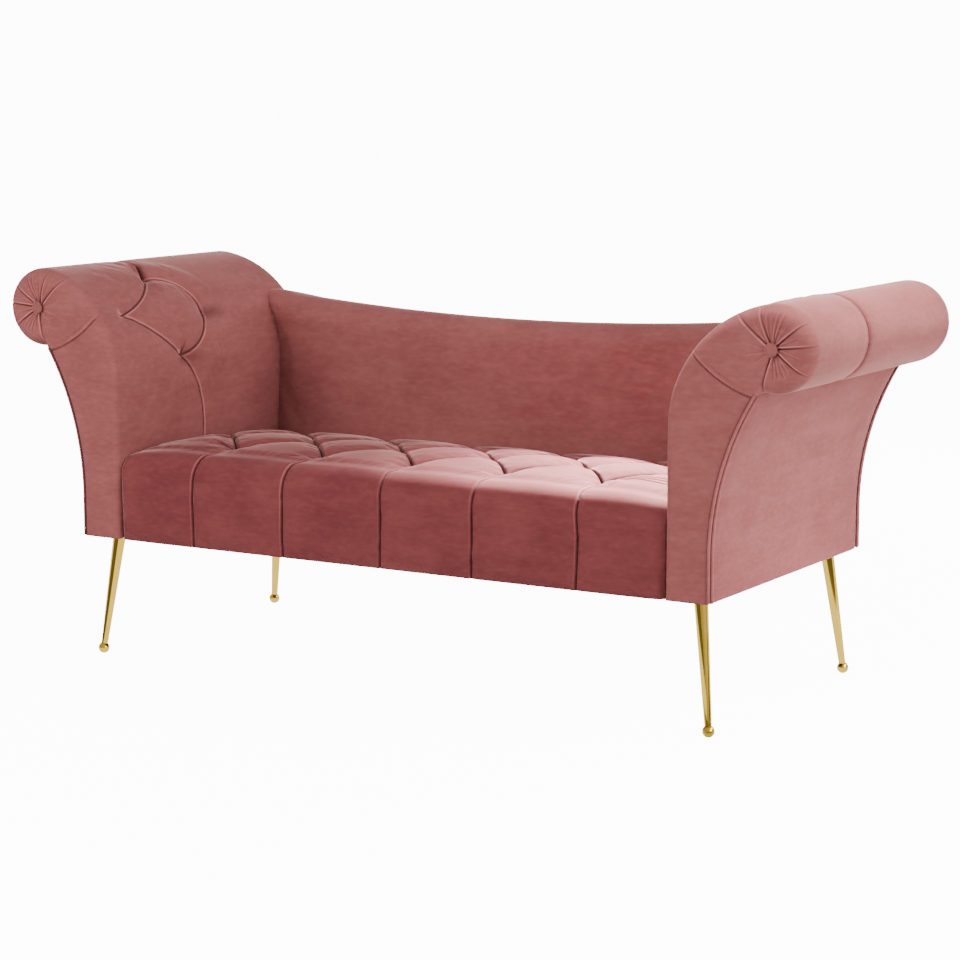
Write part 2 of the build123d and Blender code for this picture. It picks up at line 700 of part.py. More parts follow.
def arm_pieces():
    panel_front = cavity_front + ply_thick
    panel_rear = cavity_rear - ply_thick
    inner_y = (panel_front, panel_rear)
    leg_rail_out = half_seat + arm_width - arm_panel_thick - soft_gap
    keep_pair("arm_front_panel", arm_timber_outline(cavity_front, panel_front))
    keep_pair("arm_rear_panel", arm_timber_outline(panel_rear, cavity_rear))

    leg_rail = block((half_seat + skin, inner_y[0], timber_bottom),
                     (leg_rail_out, inner_y[1], timber_bottom + leg_rail_height))
    keep_pair("arm_bottom_rail", leg_rail - bolt_holes() - screw_holes())

    sheet = block((half_seat + skin, cavity_front, timber_bottom - dust_cover_thick),
                  (leg_rail_out, cavity_rear, timber_bottom))
    room = plate_size + 2 * cut_margin
    keep_pair("arm_dust_cover", sheet - [Pos(x, y, timber_bottom) * Box(room, room, 4 * dust_cover_thick)
                                         for _, x, y in leg_tops()])

    tack_in = half_seat + ply_inset
    keep_pair("arm_tack_rail", block((tack_in, inner_y[0], strap_top),
                                     (tack_in + rail_thick, inner_y[1], strap_top + tack_rail_height)))
    neck_top = neck_height - neck_rail_drop
    neck_low = neck_top - neck_rail_height
    neck_side = half_seat + flare_at(neck_low, arm_panel_thick) - soft_gap
    keep_pair("arm_neck_rail", block((neck_side - rail_thick, inner_y[0], neck_low),
                                     (neck_side, inner_y[1], neck_top)))
    pole_start = (half_seat + roll_offset, inner_y[0], roll_height)
    pole = Plane(origin=pole_start, x_dir=(1, 0, 0), z_dir=(0, 1, 0)) * Circle(roll_rail_diameter / 2)
    keep_pair("arm_roll_rail", extrude(pole, amount=inner_y[1] - inner_y[0]))

    board_inset = arm_cover_thick + arm_foam_thick
    keep_pair("arm_board", arm_band(board_inset, arm_board_thick, strap_top + soft_gap,
                                    arc_end * arm_board_reach, cavity_front, cavity_rear))
    foam_end = pi - neck_turn(arm_cover_thick, arm_panel_thick) - radians(arm_foam_stop)
    keep_pair("arm_foam", arm_band(arm_cover_thick + soft_gap, arm_foam_thick - 2 * soft_gap,
                                   strap_top + soft_gap, foam_end, cavity_front, cavity_rear))
    keep_pair("arm_cover", arm_cover() - bolt_holes())
    keep_pair("arm_outside_panel", arm_outside_panel())
    keep_pair("arm_front_welt", welt(front + skin / 2, 2))
    keep_pair("arm_rear_welt", welt(rear - facing_thick / 2 - welt_cord / 2, 1))

    disc = Cylinder(button_diameter / 2, button_thick, align=(Align.CENTER, Align.CENTER, Align.MIN))
    button = fillet(disc.edges().group_by(Axis.Z)[-1], button_thick - button_rim)
    buttons = []
    for side in (-1, 1):
        for face_y, way in ((front, -1), (rear, 1)):
            place = Plane(origin=(side * (half_seat + roll_offset), face_y, roll_height), x_dir=(1, 0, 0),
                          z_dir=(0, way, 0))
            buttons.append(place * button)
    keep("roll_buttons", Compound(buttons))


# Legs

def leg_tops():
    x = half_seat + arm_width / 2
    return [("front_left", -x, front + leg_setback), ("front_right", x, front + leg_setback),
            ("rear_left", -x, rear - leg_setback), ("rear_right", x, rear - leg_setback)]


def screw_places():
    return [(x + sx * screw_spacing / 2, y + sy * screw_spacing / 2)
            for _, x, y in leg_tops() for sx in (-1, 1) for sy in (-1, 1)]


def screw_holes():
    return [Pos(x, y, body_bottom) * Cylinder(screw_diameter / 2 + screw_gap, screw_length,
            align=(Align.CENTER, Align.CENTER, Align.MIN)) for x, y in screw_places()]


def leg_pieces():
    ball_radius = ball_diameter / 2
    bore_low = leg_foot_diameter / 2 - leg_wall
    screws = []
    for name, x, y in leg_tops():
        centre = Vector(x + leg_splay_x * (1 if x > 0 else -1), y + leg_splay_y * (1 if y > 0 else -1),
                        ball_radius - ball_flat)
        axis = Vector(x, y, body_bottom) - centre
        length = axis.length
        way = axis.normalized()
        seat_up = sqrt(ball_radius**2 - bore_low**2) + spigot_gap / 2
        low = Plane(origin=centre + way * seat_up, z_dir=way)
        spare = leg_top_diameter
        run = length - seat_up
        grow = (leg_top_diameter - leg_foot_diameter) / 2 / run
        tube_top = leg_foot_diameter / 2 + grow * (run + spare)
        tube = Solid.make_cone(leg_foot_diameter / 2, tube_top, run + spare, low)
        tube -= Solid.make_cone(bore_low, tube_top - leg_wall, run + spare, low)
        reach = leg_top_diameter * 3
        tube &= block((x - reach, y - reach, 0), (x + reach, y + reach, body_bottom))
        keep(name + "_leg", tube)

        ball = Pos(*centre) * Sphere(ball_radius)
        spigot_plane = Plane(origin=centre, z_dir=way)
        spigot = Solid.make_cylinder(bore_low - spigot_gap, seat_up + spigot_length, spigot_plane)
        foot = (ball + spigot) & block((x - reach, y - reach, 0), (x + reach, y + reach, body_bottom))
        keep(name + "_foot", foot)

        plate_face = RectangleRounded(plate_size, plate_size, plate_corner)
        plate = Pos(x, y, body_bottom) * extrude(plate_face, plate_thick)
        keep(name + "_leg_plate", plate - screw_holes())
    up = (Align.CENTER, Align.CENTER, Align.MIN)
    down = (Align.CENTER, Align.CENTER, Align.MAX)
    for x, y in screw_places():
        shank = Pos(x, y, body_bottom) * Cylinder(screw_diameter / 2, screw_length - screw_gap, align=up)
        head = Pos(x, y, body_bottom) * Cylinder(screw_head / 2, screw_head_height, align=down)
        screws.append(shank + head)
    keep("leg_screws", Compound(screws))


leg_pieces()
seat_frame()
webbing()
seat_pieces()
back_pieces()
arm_pieces()

os.makedirs("parts", exist_ok=True)
for node_name, shape in nodes.items():
    export_step(shape, os.path.join("parts", node_name + ".step"))
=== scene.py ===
from math import atan2, cos, pi, radians, sin

import bmesh
import bpy
import numpy as np
from mathutils import Matrix, Vector


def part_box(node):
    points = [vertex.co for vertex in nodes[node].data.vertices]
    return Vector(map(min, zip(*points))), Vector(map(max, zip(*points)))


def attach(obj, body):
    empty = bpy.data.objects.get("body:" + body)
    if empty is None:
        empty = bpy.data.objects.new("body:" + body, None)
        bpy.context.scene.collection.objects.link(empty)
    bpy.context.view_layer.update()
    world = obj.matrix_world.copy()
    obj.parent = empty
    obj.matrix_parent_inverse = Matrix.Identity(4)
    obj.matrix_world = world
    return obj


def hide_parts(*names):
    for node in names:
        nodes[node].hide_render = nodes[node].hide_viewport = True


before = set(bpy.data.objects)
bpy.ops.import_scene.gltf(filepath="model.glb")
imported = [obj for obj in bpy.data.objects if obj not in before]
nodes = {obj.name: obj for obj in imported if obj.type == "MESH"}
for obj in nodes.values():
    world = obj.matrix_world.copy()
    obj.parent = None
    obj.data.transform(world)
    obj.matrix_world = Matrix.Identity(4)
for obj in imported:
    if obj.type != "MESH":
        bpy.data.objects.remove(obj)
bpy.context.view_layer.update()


# Legs and ball feet
# Tapered steel tubes with a solid ball on a spigot, welded to a plate and plated in polished gold colour.
# The plating is mirror bright, with faint drawing marks along the tube and a slightly uneven film.

def new_material(name):
    material = bpy.data.materials.new(name)
    material.use_nodes = True
    return material, material.node_tree, material.node_tree.nodes["Principled BSDF"]


def add_node(tree, kind, constants=None, feeds=None, **settings):
    # shader node with its settings, its constant inputs, and the sockets that feed its other inputs
    node = tree.nodes.new("ShaderNode" + kind)
    for name, value in settings.items():
        setattr(node, name, value)
    for socket, value in (constants or {}).items():
        node.inputs[socket].default_value = value
    for socket, feed in (feeds or {}).items():
        tree.links.new(feed, node.inputs[socket])
    return node


def object_noise(tree, scale, detail, stretch=(1, 1, 1)):
    place = add_node(tree, "TexCoord")
    mapping = add_node(tree, "Mapping", {"Scale": stretch}, {"Vector": place.outputs["Object"]})
    noise = add_node(tree, "TexNoise", {"Scale": scale, "Detail": detail},
                     {"Vector": mapping.outputs["Vector"]})
    return noise.outputs["Fac"]


def ramp_between(tree, value, low, high, start=0.3, end=0.7):
    ramp = add_node(tree, "ValToRGB", feeds={"Fac": value})
    first, last = ramp.color_ramp.elements
    first.position, last.position = start, end
    first.color, last.color = (*low, 1), (*high, 1)
    return ramp.outputs["Color"]


def range_between(tree, value, low, high, start=0.0, end=1.0):
    limits = {"From Min": start, "From Max": end, "To Min": low, "To Max": high}
    return add_node(tree, "MapRange", limits, {"Value": value}).outputs["Result"]


def smooth(mesh):
    mesh.polygons.foreach_set("use_smooth", [True] * len(mesh.polygons))


def dress(material, *names):
    for name in names:
        mesh = nodes[name].data
        mesh.materials.clear()
        mesh.materials.append(material)
        smooth(mesh)


gold, gold_tree, gold_shader = new_material("gold_plating")
gold_shader.inputs["Metallic"].default_value = 1.0
film = object_noise(gold_tree, 14, 3)
drawing = object_noise(gold_tree, 60, 4, (9, 9, 0.4))
gold_tree.links.new(ramp_between(gold_tree, film, (0.84, 0.52, 0.05), (0.92, 0.62, 0.10)),
                    gold_shader.inputs["Base Color"])
gold_tree.links.new(range_between(gold_tree, drawing, 0.02, 0.1), gold_shader.inputs["Roughness"])
corners = ("front_left", "front_right", "rear_left", "rear_right")
dress(gold, *[f"{corner}_{part}" for part in ("leg", "foot") for corner in corners])


# Leg plates, screws and bolts
# Pressed steel plates under the arms with pan-head wood screws, and the bolts that join arm and seat frame.
# All of it is zinc plated, with the cloudy spangle of the zinc bath.

def raise_by(tree, height, strength, distance, shader):
    bump = add_node(tree, "Bump", {"Strength": strength, "Distance": distance}, {"Height": height})
    tree.links.new(bump.outputs["Normal"], shader.inputs["Normal"])


def grained(name, low, high, rough, scale, detail, stretch=(1, 1, 1), metallic=0.0, bump=None):
    # colour and roughness follow one noise; bump is the strength and depth of its relief
    material, tree, shader = new_material(name)
    grain = object_noise(tree, scale, detail, stretch)
    shader.inputs["Metallic"].default_value = metallic
    tree.links.new(ramp_between(tree, grain, low, high), shader.inputs["Base Color"])
    tree.links.new(range_between(tree, grain, *rough), shader.inputs["Roughness"])
    if bump:
        raise_by(tree, grain, *bump, shader)
    return material


zinc = grained("zinc_plate", (0.42, 0.43, 0.45), (0.62, 0.63, 0.66), (0.28, 0.5), 180, 3, metallic=1.0)
dress(zinc, *[corner + "_leg_plate" for corner in corners], "leg_screws", "arm_bolts")


# Timber frame
# Planed softwood rails, posts and blocks, plywood scroll panels and fibreboard linings, glued and stapled.
# All of it is closed in by the upholstery.

sides = ("left", "right")
timber = grained("planed_softwood", (0.36, 0.21, 0.1), (0.62, 0.42, 0.23), (0.5, 0.75), 18, 6, (0.6, 5, 5),
                 bump=(0.2, 0.0005))
dress(timber, "front_seat_rail", "rear_seat_rail", "seat_bearers", "corner_blocks", "back_posts",
      "back_top_rail", *[s + "_end_rail" for s in sides],
      *[f"{s}_arm_{rail}_rail" for s in sides for rail in ("bottom", "neck", "roll", "tack")])
board = grained("pressed_board", (0.25, 0.15, 0.08), (0.5, 0.35, 0.2), (0.6, 0.8), 140, 5)
dress(board, "back_board", *[s + "_arm_board" for s in sides],
      *[f"{s}_arm_{end}_panel" for s in sides for end in ("front", "rear")])


# Webbing, foam and tufting twine
# Elastic straps woven over the seat frame carry the cut foam blocks, and waxed twine holds each tuft down.
# They are hidden under the covers.

webbing = grained("woven_webbing", (0.02, 0.02, 0.02), (0.09, 0.085, 0.08), (0.7, 0.95), 420, 2, (1, 0.2, 1))
dress(webbing, "cross_webbing", "long_webbing")
foam = grained("cut_foam", (0.62, 0.55, 0.36), (0.82, 0.76, 0.58), (0.85, 1.0), 700, 2)
dress(foam, "seat_foam", "back_foam", *[s + "_arm_foam" for s in sides])
twine = grained("waxed_twine", (0.42, 0.34, 0.22), (0.66, 0.57, 0.4), (0.5, 0.7), 300, 2, (1, 1, 0.4))
dress(twine, "seat_tuft_ties")


# Seat cover
# Velvet quilted to wadding and drawn down over the seat foam by three staggered rows of blind tufts. Spare
# cloth between tufts lies in diamond pleats, and the front row's pleats run over the rounded edge to the hem.

seat_low, seat_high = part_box("seat_cover")
arm_low, arm_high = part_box("right_arm_cover")
facing_y = arm_low.y
hem_z = seat_low.z
seat_half = seat_high.x
seat_brow_z = 0.362          # where the upright front face starts to round over
seat_lip_y = facing_y + 0.047
seat_lip_z = 0.411
lip_zone = 0.05              # the rounded edge keeps its line when the seat is stuffed
seat_heel_y = seat_high.y - 0.012
seat_heel_z = 0.386
seat_crown = 0.016           # the top is domed by this between its front edge and the back
seat_tail_y = seat_high.y + 0.005
seat_tail_z = 0.345
tuft_pitch = 0.1             # half the spacing along the seat, because the rows are staggered
tuft_front_y = facing_y + 0.130
tuft_step = 0.125
puff_rise = 0.0085
front_puff_rise = 0.002
front_puff_pace = 2.2        # the front's puffs are full well below the edge
puff_width = 0.036
tuft_bowl = 0.008            # hollow round a tuft, and the tight pit in it
tuft_bowl_width = 0.036
tuft_pit = 0.005
tuft_pit_width = 0.011
pleat_fold = 0.0040          # depth and width of the folded line of a pleat
pleat_line = 0.0021
top_fold = 2.2               # on top the folds are this much deeper and wider
top_line = 1.4
pleat_step = 0.0045          # on top, the cloth behind a pleat is folded over it and stands this much higher
step_climb = 0.0022          # it rises within this width and settles again within the next one
step_settle = 0.045
foot_shade = (0.0018, 0.0045)   # width of the dark line before and behind a pleat on top
arm_tuck = 0.013             # seat drawn in where it meets the arms
arm_tuck_reach = 0.13
seat_end_round = 0.012       # the front's ends turn in against the arms
seat_end_width = 0.005
cover_thick = 0.005
cell = 0.0062                # mesh size before the cover is refined
fold_zone = 0.004            # nearness to a fold is 1 on it and fades over this distance
stitched_share = 0.3         # nearer than this the cover is stitched down
divided_share = 0.08         # and nearer than this its quads are divided
fold_edge = 1.9              # the folded edge of the cloth stands this many line widths beside the valley
fold_edge_rise = 0.3
fold_highlight_width = 0.8             # and the painted highlight along it spans this share of the line width


def spaced(start, end, step):
    return np.linspace(start, end, max(2, round(abs(end - start) / step) + 1))


def object_from(shape, name):
    mesh = bpy.data.meshes.new(name)
    shape.to_mesh(mesh)
    shape.free()
    piece = bpy.data.objects.new(name, mesh)
    bpy.context.scene.collection.objects.link(piece)
    return piece


def vectors_in(data, field):
    flat = np.zeros(len(data) * 3, np.float32)
    data.foreach_get(field, flat)
    return flat.reshape(-1, 3).astype(float)


def corners_of(piece):
    return vectors_in(piece.data.vertices, "co")


def place_corners(piece, points):
    piece.data.vertices.foreach_set("co", np.asarray(points, np.float32).ravel())
    piece.data.update()


def cloth_grid(name, columns, rows):
    # flat sheet of quads, with the column and row number of each of its corners
    shape = bmesh.new()
    bmesh.ops.create_grid(shape, x_segments=columns - 1, y_segments=rows - 1, size=0.5)
    shape.verts.index_update()
    piece = object_from(shape, name)
    flat = corners_of(piece)
    column = np.rint((flat[:, 0] + 0.5) * (columns - 1)).astype(int)
    row = np.rint((flat[:, 1] + 0.5) * (rows - 1)).astype(int)
    return piece, column, row


def push_out(piece, rise):
    normals = vectors_in(piece.data.vertex_normals, "vector")
    place_corners(piece, corners_of(piece) + normals * rise[:, None])


def beside(points, path):
    # distance from each point to a path of straight runs, positive on its left side, and the share along it
    best = np.full(len(points), np.inf)
    side = np.ones(len(points))
    along = np.zeros(len(points))
    for k, (a, b) in enumerate(zip(path[:-1], path[1:])):
        run = np.subtract(b, a)
        share = np.clip((points - a) @ run / (run @ run), 0, 1)
        off = points - a - share[:, None] * run
        length = np.linalg.norm(off, axis=1)
        closer = length < best
        best = np.where(closer, length, best)
        side = np.where(closer, np.where(run[0] * off[:, 1] > run[1] * off[:, 0], 1, -1), side)
        along = np.where(closer, (k + share) / (len(path) - 1), along)
    return best * side, along


def strongest(points, paths, fade, *forms):
    # the most that each form of the distance beside a path gives over all paths; fade thins a path's far end
    most = [np.zeros(len(points)) for _ in forms]
    for path in paths:
        off, along = beside(points, path)
        most = [np.maximum(m, (1 - fade * along) * form(off)) for m, form in zip(most, forms)]
    return most


def puffs_between(points, paths, width):
    # 0 on the pleats, rising to 1 in the middle of a puff, rounded where two pleats are equally near
    close = np.zeros(len(points))
    for path in paths:
        close += np.exp(-4 * np.abs(beside(points, path)[0]) / width)
    return 1 - np.minimum(1, close) ** 0.25


def creases_along(points, paths, width):
    return strongest(points, paths, 0, lambda off: np.exp(-np.abs(off) / width))[0]


def folds_along(points, paths, width, fade=0.0):
    # a sharp valley with the folded edge of the cloth standing up on one side of it
    valley, ridge = strongest(points, paths, fade, lambda off: np.exp(-np.abs(off) / width),
                              lambda off: np.exp(-(((off - fold_edge * width) / width) ** 2)))
    return fold_edge_rise * ridge * (1 - valley) - valley


def fold_marks(points, paths, width, fade=0.0):
    # 1 for the painted highlight along the folded edge beside a valley, and -1 for painted shade down in the
    # valley
    dark, light = strongest(points, paths, fade, lambda off: np.exp(-((off / width) ** 2)),
                            lambda off: np.exp(-(((off - fold_edge * width) / (fold_highlight_width * width)) ** 2)))
    return light * (1 - dark) - dark


def shade_behind(points, paths, before, behind):
    # dark foot of the puff on the right-hand side of each path, which the puff before it shades
    return strongest(points, paths, 0, lambda off: np.exp(-np.where(off > 0, off / before, -off / behind)))[0]


def stepped_up(points, paths, climb, settle):
    # rises sharply from the right-hand side of each path and settles again behind it
    def rise(off):
        back = np.maximum(-off, 0)
        return (1 - np.exp(-back / climb)) * np.exp(-back / settle)

    return strongest(points, paths, 0, rise)[0]


def dimples_at(points, spots, width):
    sunk = np.zeros(len(points))
    for spot in spots:
        sunk = np.maximum(sunk, np.exp(-(np.linalg.norm(points - spot, axis=1) / width) ** 1.3))
    return sunk


def swell(piece, held, reach, pressure, slack):
    # the stuffing pushes the cover out between its stitches, by no more than reach; slack is its spare share
    start = corners_of(piece)
    stitched = piece.vertex_groups.new(name="stitched")
    stitched.add(np.flatnonzero(held).tolist(), 1.0, "REPLACE")
    stuffing = piece.modifiers.new("stuffing", "CLOTH")
    stuffing.settings.vertex_group_mass = "stitched"
    stuffing.settings.quality = 4
    stuffing.settings.mass = 0.3
    stuffing.settings.tension_stiffness = 8
    stuffing.settings.compression_stiffness = 8
    stuffing.settings.shear_stiffness = 4
    stuffing.settings.bending_stiffness = 0.4
    stuffing.settings.shrink_min = -slack
    stuffing.settings.use_pressure = True
    stuffing.settings.uniform_pressure_force = pressure
    stuffing.settings.effector_weights.gravity = 0
    stuffing.collision_settings.use_collision = False
    scene = bpy.context.scene
    for step in range(1, 21):
        scene.frame_set(step)
    grown = piece.evaluated_get(bpy.context.evaluated_depsgraph_get()).data
    moved = vectors_in(grown.vertices, "co") - start
    length = np.linalg.norm(moved, axis=1)
    moved *= np.minimum(1, reach / np.maximum(length, 1e-9))[:, None]
    piece.modifiers.remove(stuffing)
    piece.vertex_groups.remove(stitched)
    scene.frame_set(1)
    place_corners(piece, start + moved)


def refine(piece):
    finer = piece.modifiers.new("finer", "SUBSURF")
    finer.levels = finer.render_levels = 1
    mesh = bpy.data.meshes.new_from_object(piece.evaluated_get(bpy.context.evaluated_depsgraph_get()))
    piece.modifiers.clear()
    piece.data = mesh
    smooth(mesh)


def divide_near(piece, close):
    # smaller quads where the cloth is folded sharply
    shape = bmesh.new()
    shape.from_mesh(piece.data)
    shape.verts.ensure_lookup_table()
    edges = [e for e in shape.edges if close[e.verts[0].index] and close[e.verts[1].index]]
    bmesh.ops.subdivide_edges(shape, edges=edges, cuts=1, use_grid_fill=True)
    shape.to_mesh(piece.data)
    shape.free()
    smooth(piece.data)


def seat_profile():
    # section at the level of the pleats: up the front from the hem, over the edge, along the top, down behind
    upright = spaced(hem_z, seat_brow_z, cell)
    lip_turn = spaced(0, pi / 2, 0.075)[1:]
    top = spaced(seat_lip_y, seat_heel_y, cell)[1:]
    tail_turn = spaced(0, pi / 2, 0.3)[1:]
    heel_drop = seat_tail_y - seat_heel_y
    back = (top - seat_lip_y) / (seat_heel_y - seat_lip_y)
    y = np.concatenate([np.full(len(upright), facing_y),
                        seat_lip_y - (seat_lip_y - facing_y) * np.cos(lip_turn),
                        top,
                        seat_heel_y + heel_drop * np.sin(tail_turn),
                        [seat_tail_y]])
    z = np.concatenate([upright,
                        seat_brow_z + (seat_lip_z - seat_brow_z) * np.sin(lip_turn),
                        seat_lip_z + (seat_heel_z - seat_lip_z) * back + seat_crown * np.sin(pi * back),
                        seat_heel_z - heel_drop * (1 - np.cos(tail_turn)),
                        [seat_tail_z]])
    run = np.concatenate([[0], np.cumsum(np.hypot(np.diff(y), np.diff(z)))])
    return y, z, run


profile_y, profile_z, profile_run = seat_profile()
lip_index = int(np.argmin(np.hypot(profile_y - seat_lip_y, profile_z - seat_lip_z)))
run_at_lip = profile_run[lip_index]
run_at_bend = float(np.interp(seat_brow_z - 0.03, profile_z[:lip_index], profile_run[:lip_index]))
tuft_rows = [run_at_lip + (tuft_front_y + k * tuft_step - seat_lip_y) for k in range(4)]
seat_tufts = [(k * tuft_pitch, tuft_rows[r]) for r in range(3) for k in range(-5, 6) if (k + r) % 2 == 0]
top_pleats = []
for r in range(3):
    for k in range(-6, 7):
        if (k + r) % 2 == 0:
            # both pleats run so that the puff in front lies on their left
            tuft = (k * tuft_pitch, tuft_rows[r])
            top_pleats += [[tuft, ((k - 1) * tuft_pitch, tuft_rows[r + 1])],
                           [((k + 1) * tuft_pitch, tuft_rows[r + 1]), tuft]]

# the sewer set each front pleat by eye; tuft number: (sideways lean, strength of the painted highlight on its
# edge)
front_set = {-4: (-0.012, 0.85), -2: (-0.005, 1.0), 0: (0.013, 0.45), 2: (0.006, 0.6), 4: (0.021, 0.7)}
front_pleats = []
seat_gathers = []
for k, (lean, _) in front_set.items():
    tuft_x = k * tuft_pitch
    front_pleats.append([(tuft_x + 0.8 * lean, 0.0), (tuft_x + lean, run_at_bend),
                         (tuft_x + 0.5 * lean, run_at_lip), (tuft_x, tuft_rows[0])])
    for aside in (-0.009, 0.008):
        seat_gathers.append([(tuft_x, tuft_rows[0] - 0.006), (tuft_x + 0.5 * lean + aside, run_at_lip - 0.01),
                             (tuft_x + lean + aside * 1.5, run_at_bend)])
end_gathers = [[(end * (4 * tuft_pitch + 0.008), tuft_rows[0]),
                (end * (seat_half - 0.05), tuft_rows[0] + aside),
                (end * seat_half, tuft_rows[0] + aside)]
               for end in (-1, 1) for aside in (-0.012, 0.010, 0.032)]
seat_pleats = top_pleats + front_pleats


def seat_forms(points):
    # puffs between the pleats, hollows round the tufts, and the tuck beside the arms
    from_arm = seat_half - np.abs(points[:, 0])
    up = np.clip(points[:, 1] / run_at_lip, 0, 1)
    behind = np.clip((points[:, 1] - run_at_lip + 0.03) / (tuft_rows[0] - run_at_lip + 0.08), 0, 1)
    rise = front_puff_rise * np.sin(pi / 2 * np.minimum(1, up * front_puff_pace))
    rise = rise + (puff_rise - front_puff_rise) * behind**2 * (3 - 2 * behind)
    to_arm = np.clip(from_arm / arm_tuck_reach, 0, 1)
    tuck = arm_tuck * (0.75 * (1 - to_arm) ** 2 + 0.25 * np.exp(-to_arm * 14)) * (0.3 + 0.7 * up**2)
    tuck = tuck + seat_end_round * np.exp(-from_arm / seat_end_width) * (1 - up)
    bowls = tuft_bowl * dimples_at(points, seat_tufts, tuft_bowl_width)
    return rise * (0.3 + 0.7 * to_arm) * puffs_between(points, seat_pleats, puff_width) - tuck - bowls


def rim_of(column, row):
    return (row == 0) | (row == row.max()) | (column == 0) | (column == column.max())


def mark_folds(piece, marks):
    # 1 for a painted highlight along the edge of a fold, -1 for painted shade down in it; the velvet's colour
    # follows it
    lines = piece.data.attributes.new("fold_line", "FLOAT", "POINT")
    lines.data.foreach_set("value", np.clip(marks, -1, 1).astype(np.float32))


seat_columns = spaced(-seat_half, seat_half, cell)
seat_cover, column, row = cloth_grid("seat_velvet", len(seat_columns), len(profile_run))
on_seat = np.column_stack([seat_columns[column], profile_run[row]])
place_corners(seat_cover, np.column_stack([seat_columns[column], profile_y[row], profile_z[row]]))
push_out(seat_cover, seat_forms(on_seat))
lip = np.abs(on_seat[:, 1] - run_at_lip + 0.03) < lip_zone
stitched = creases_along(on_seat, seat_pleats, fold_zone) > stitched_share
swell(seat_cover, stitched | rim_of(column, row) | lip, reach=0.004, pressure=2.0, slack=0.02)
cloth_place = seat_cover.data.attributes.new("on_cloth", "FLOAT_VECTOR", "POINT")
flat_place = np.column_stack([on_seat, np.zeros(len(on_seat))])
cloth_place.data.foreach_set("vector", flat_place.astype(np.float32).ravel())
refine(seat_cover)
on_seat = vectors_in(seat_cover.data.attributes["on_cloth"].data, "vector")[:, :2]
folded = creases_along(on_seat, seat_pleats + seat_gathers + end_gathers, fold_zone) > divided_share
divide_near(seat_cover, folded)
on_seat = vectors_in(seat_cover.data.attributes["on_cloth"].data, "vector")[:, :2]

main_folds = np.minimum(folds_along(on_seat, front_pleats, pleat_line),
                        top_fold * folds_along(on_seat, top_pleats, top_line * pleat_line))
main_folds = np.where(main_folds < -0.05, main_folds, folds_along(on_seat, seat_pleats, pleat_line))
side_folds = folds_along(on_seat, seat_gathers, 0.7 * pleat_line, 0.9)
end_folds = folds_along(on_seat, end_gathers, pleat_line, 0.3)
pits = dimples_at(on_seat, seat_tufts, tuft_pit_width)
to_arm = np.clip((seat_half - np.abs(on_seat[:, 0])) / arm_tuck_reach, 0, 1)
steps = pleat_step * stepped_up(on_seat, top_pleats, step_climb, step_settle) * to_arm
push_out(seat_cover, pleat_fold * (main_folds + 0.4 * side_folds + 0.8 * end_folds) - tuft_pit * pits + steps)
up_face = np.clip(on_seat[:, 1] / run_at_lip, 0, 1)
# painted highlights along the folded edges of the gathers and front pleats, and painted shade in the tufts'
# pits, down in the folds and behind the top pleats
seat_marks = fold_marks(on_seat, end_gathers, pleat_line, 0.3) - 0.6 * pits
seat_marks += 0.6 * fold_marks(on_seat, seat_gathers, 0.8 * pleat_line, 0.9)
seat_marks -= shade_behind(on_seat, top_pleats, *foot_shade)
for path, (_, edge_highlight) in zip(front_pleats, front_set.values()):
    mark = fold_marks(on_seat, [path], pleat_line)
    seat_marks += np.where(mark > 0, mark * edge_highlight * (0.4 + 0.6 * up_face), mark)
mark_folds(seat_cover, seat_marks)


def shell(piece, thickness):
    wall = piece.modifiers.new("wadding", "SOLIDIFY")
    wall.thickness = thickness
    wall.offset = -1


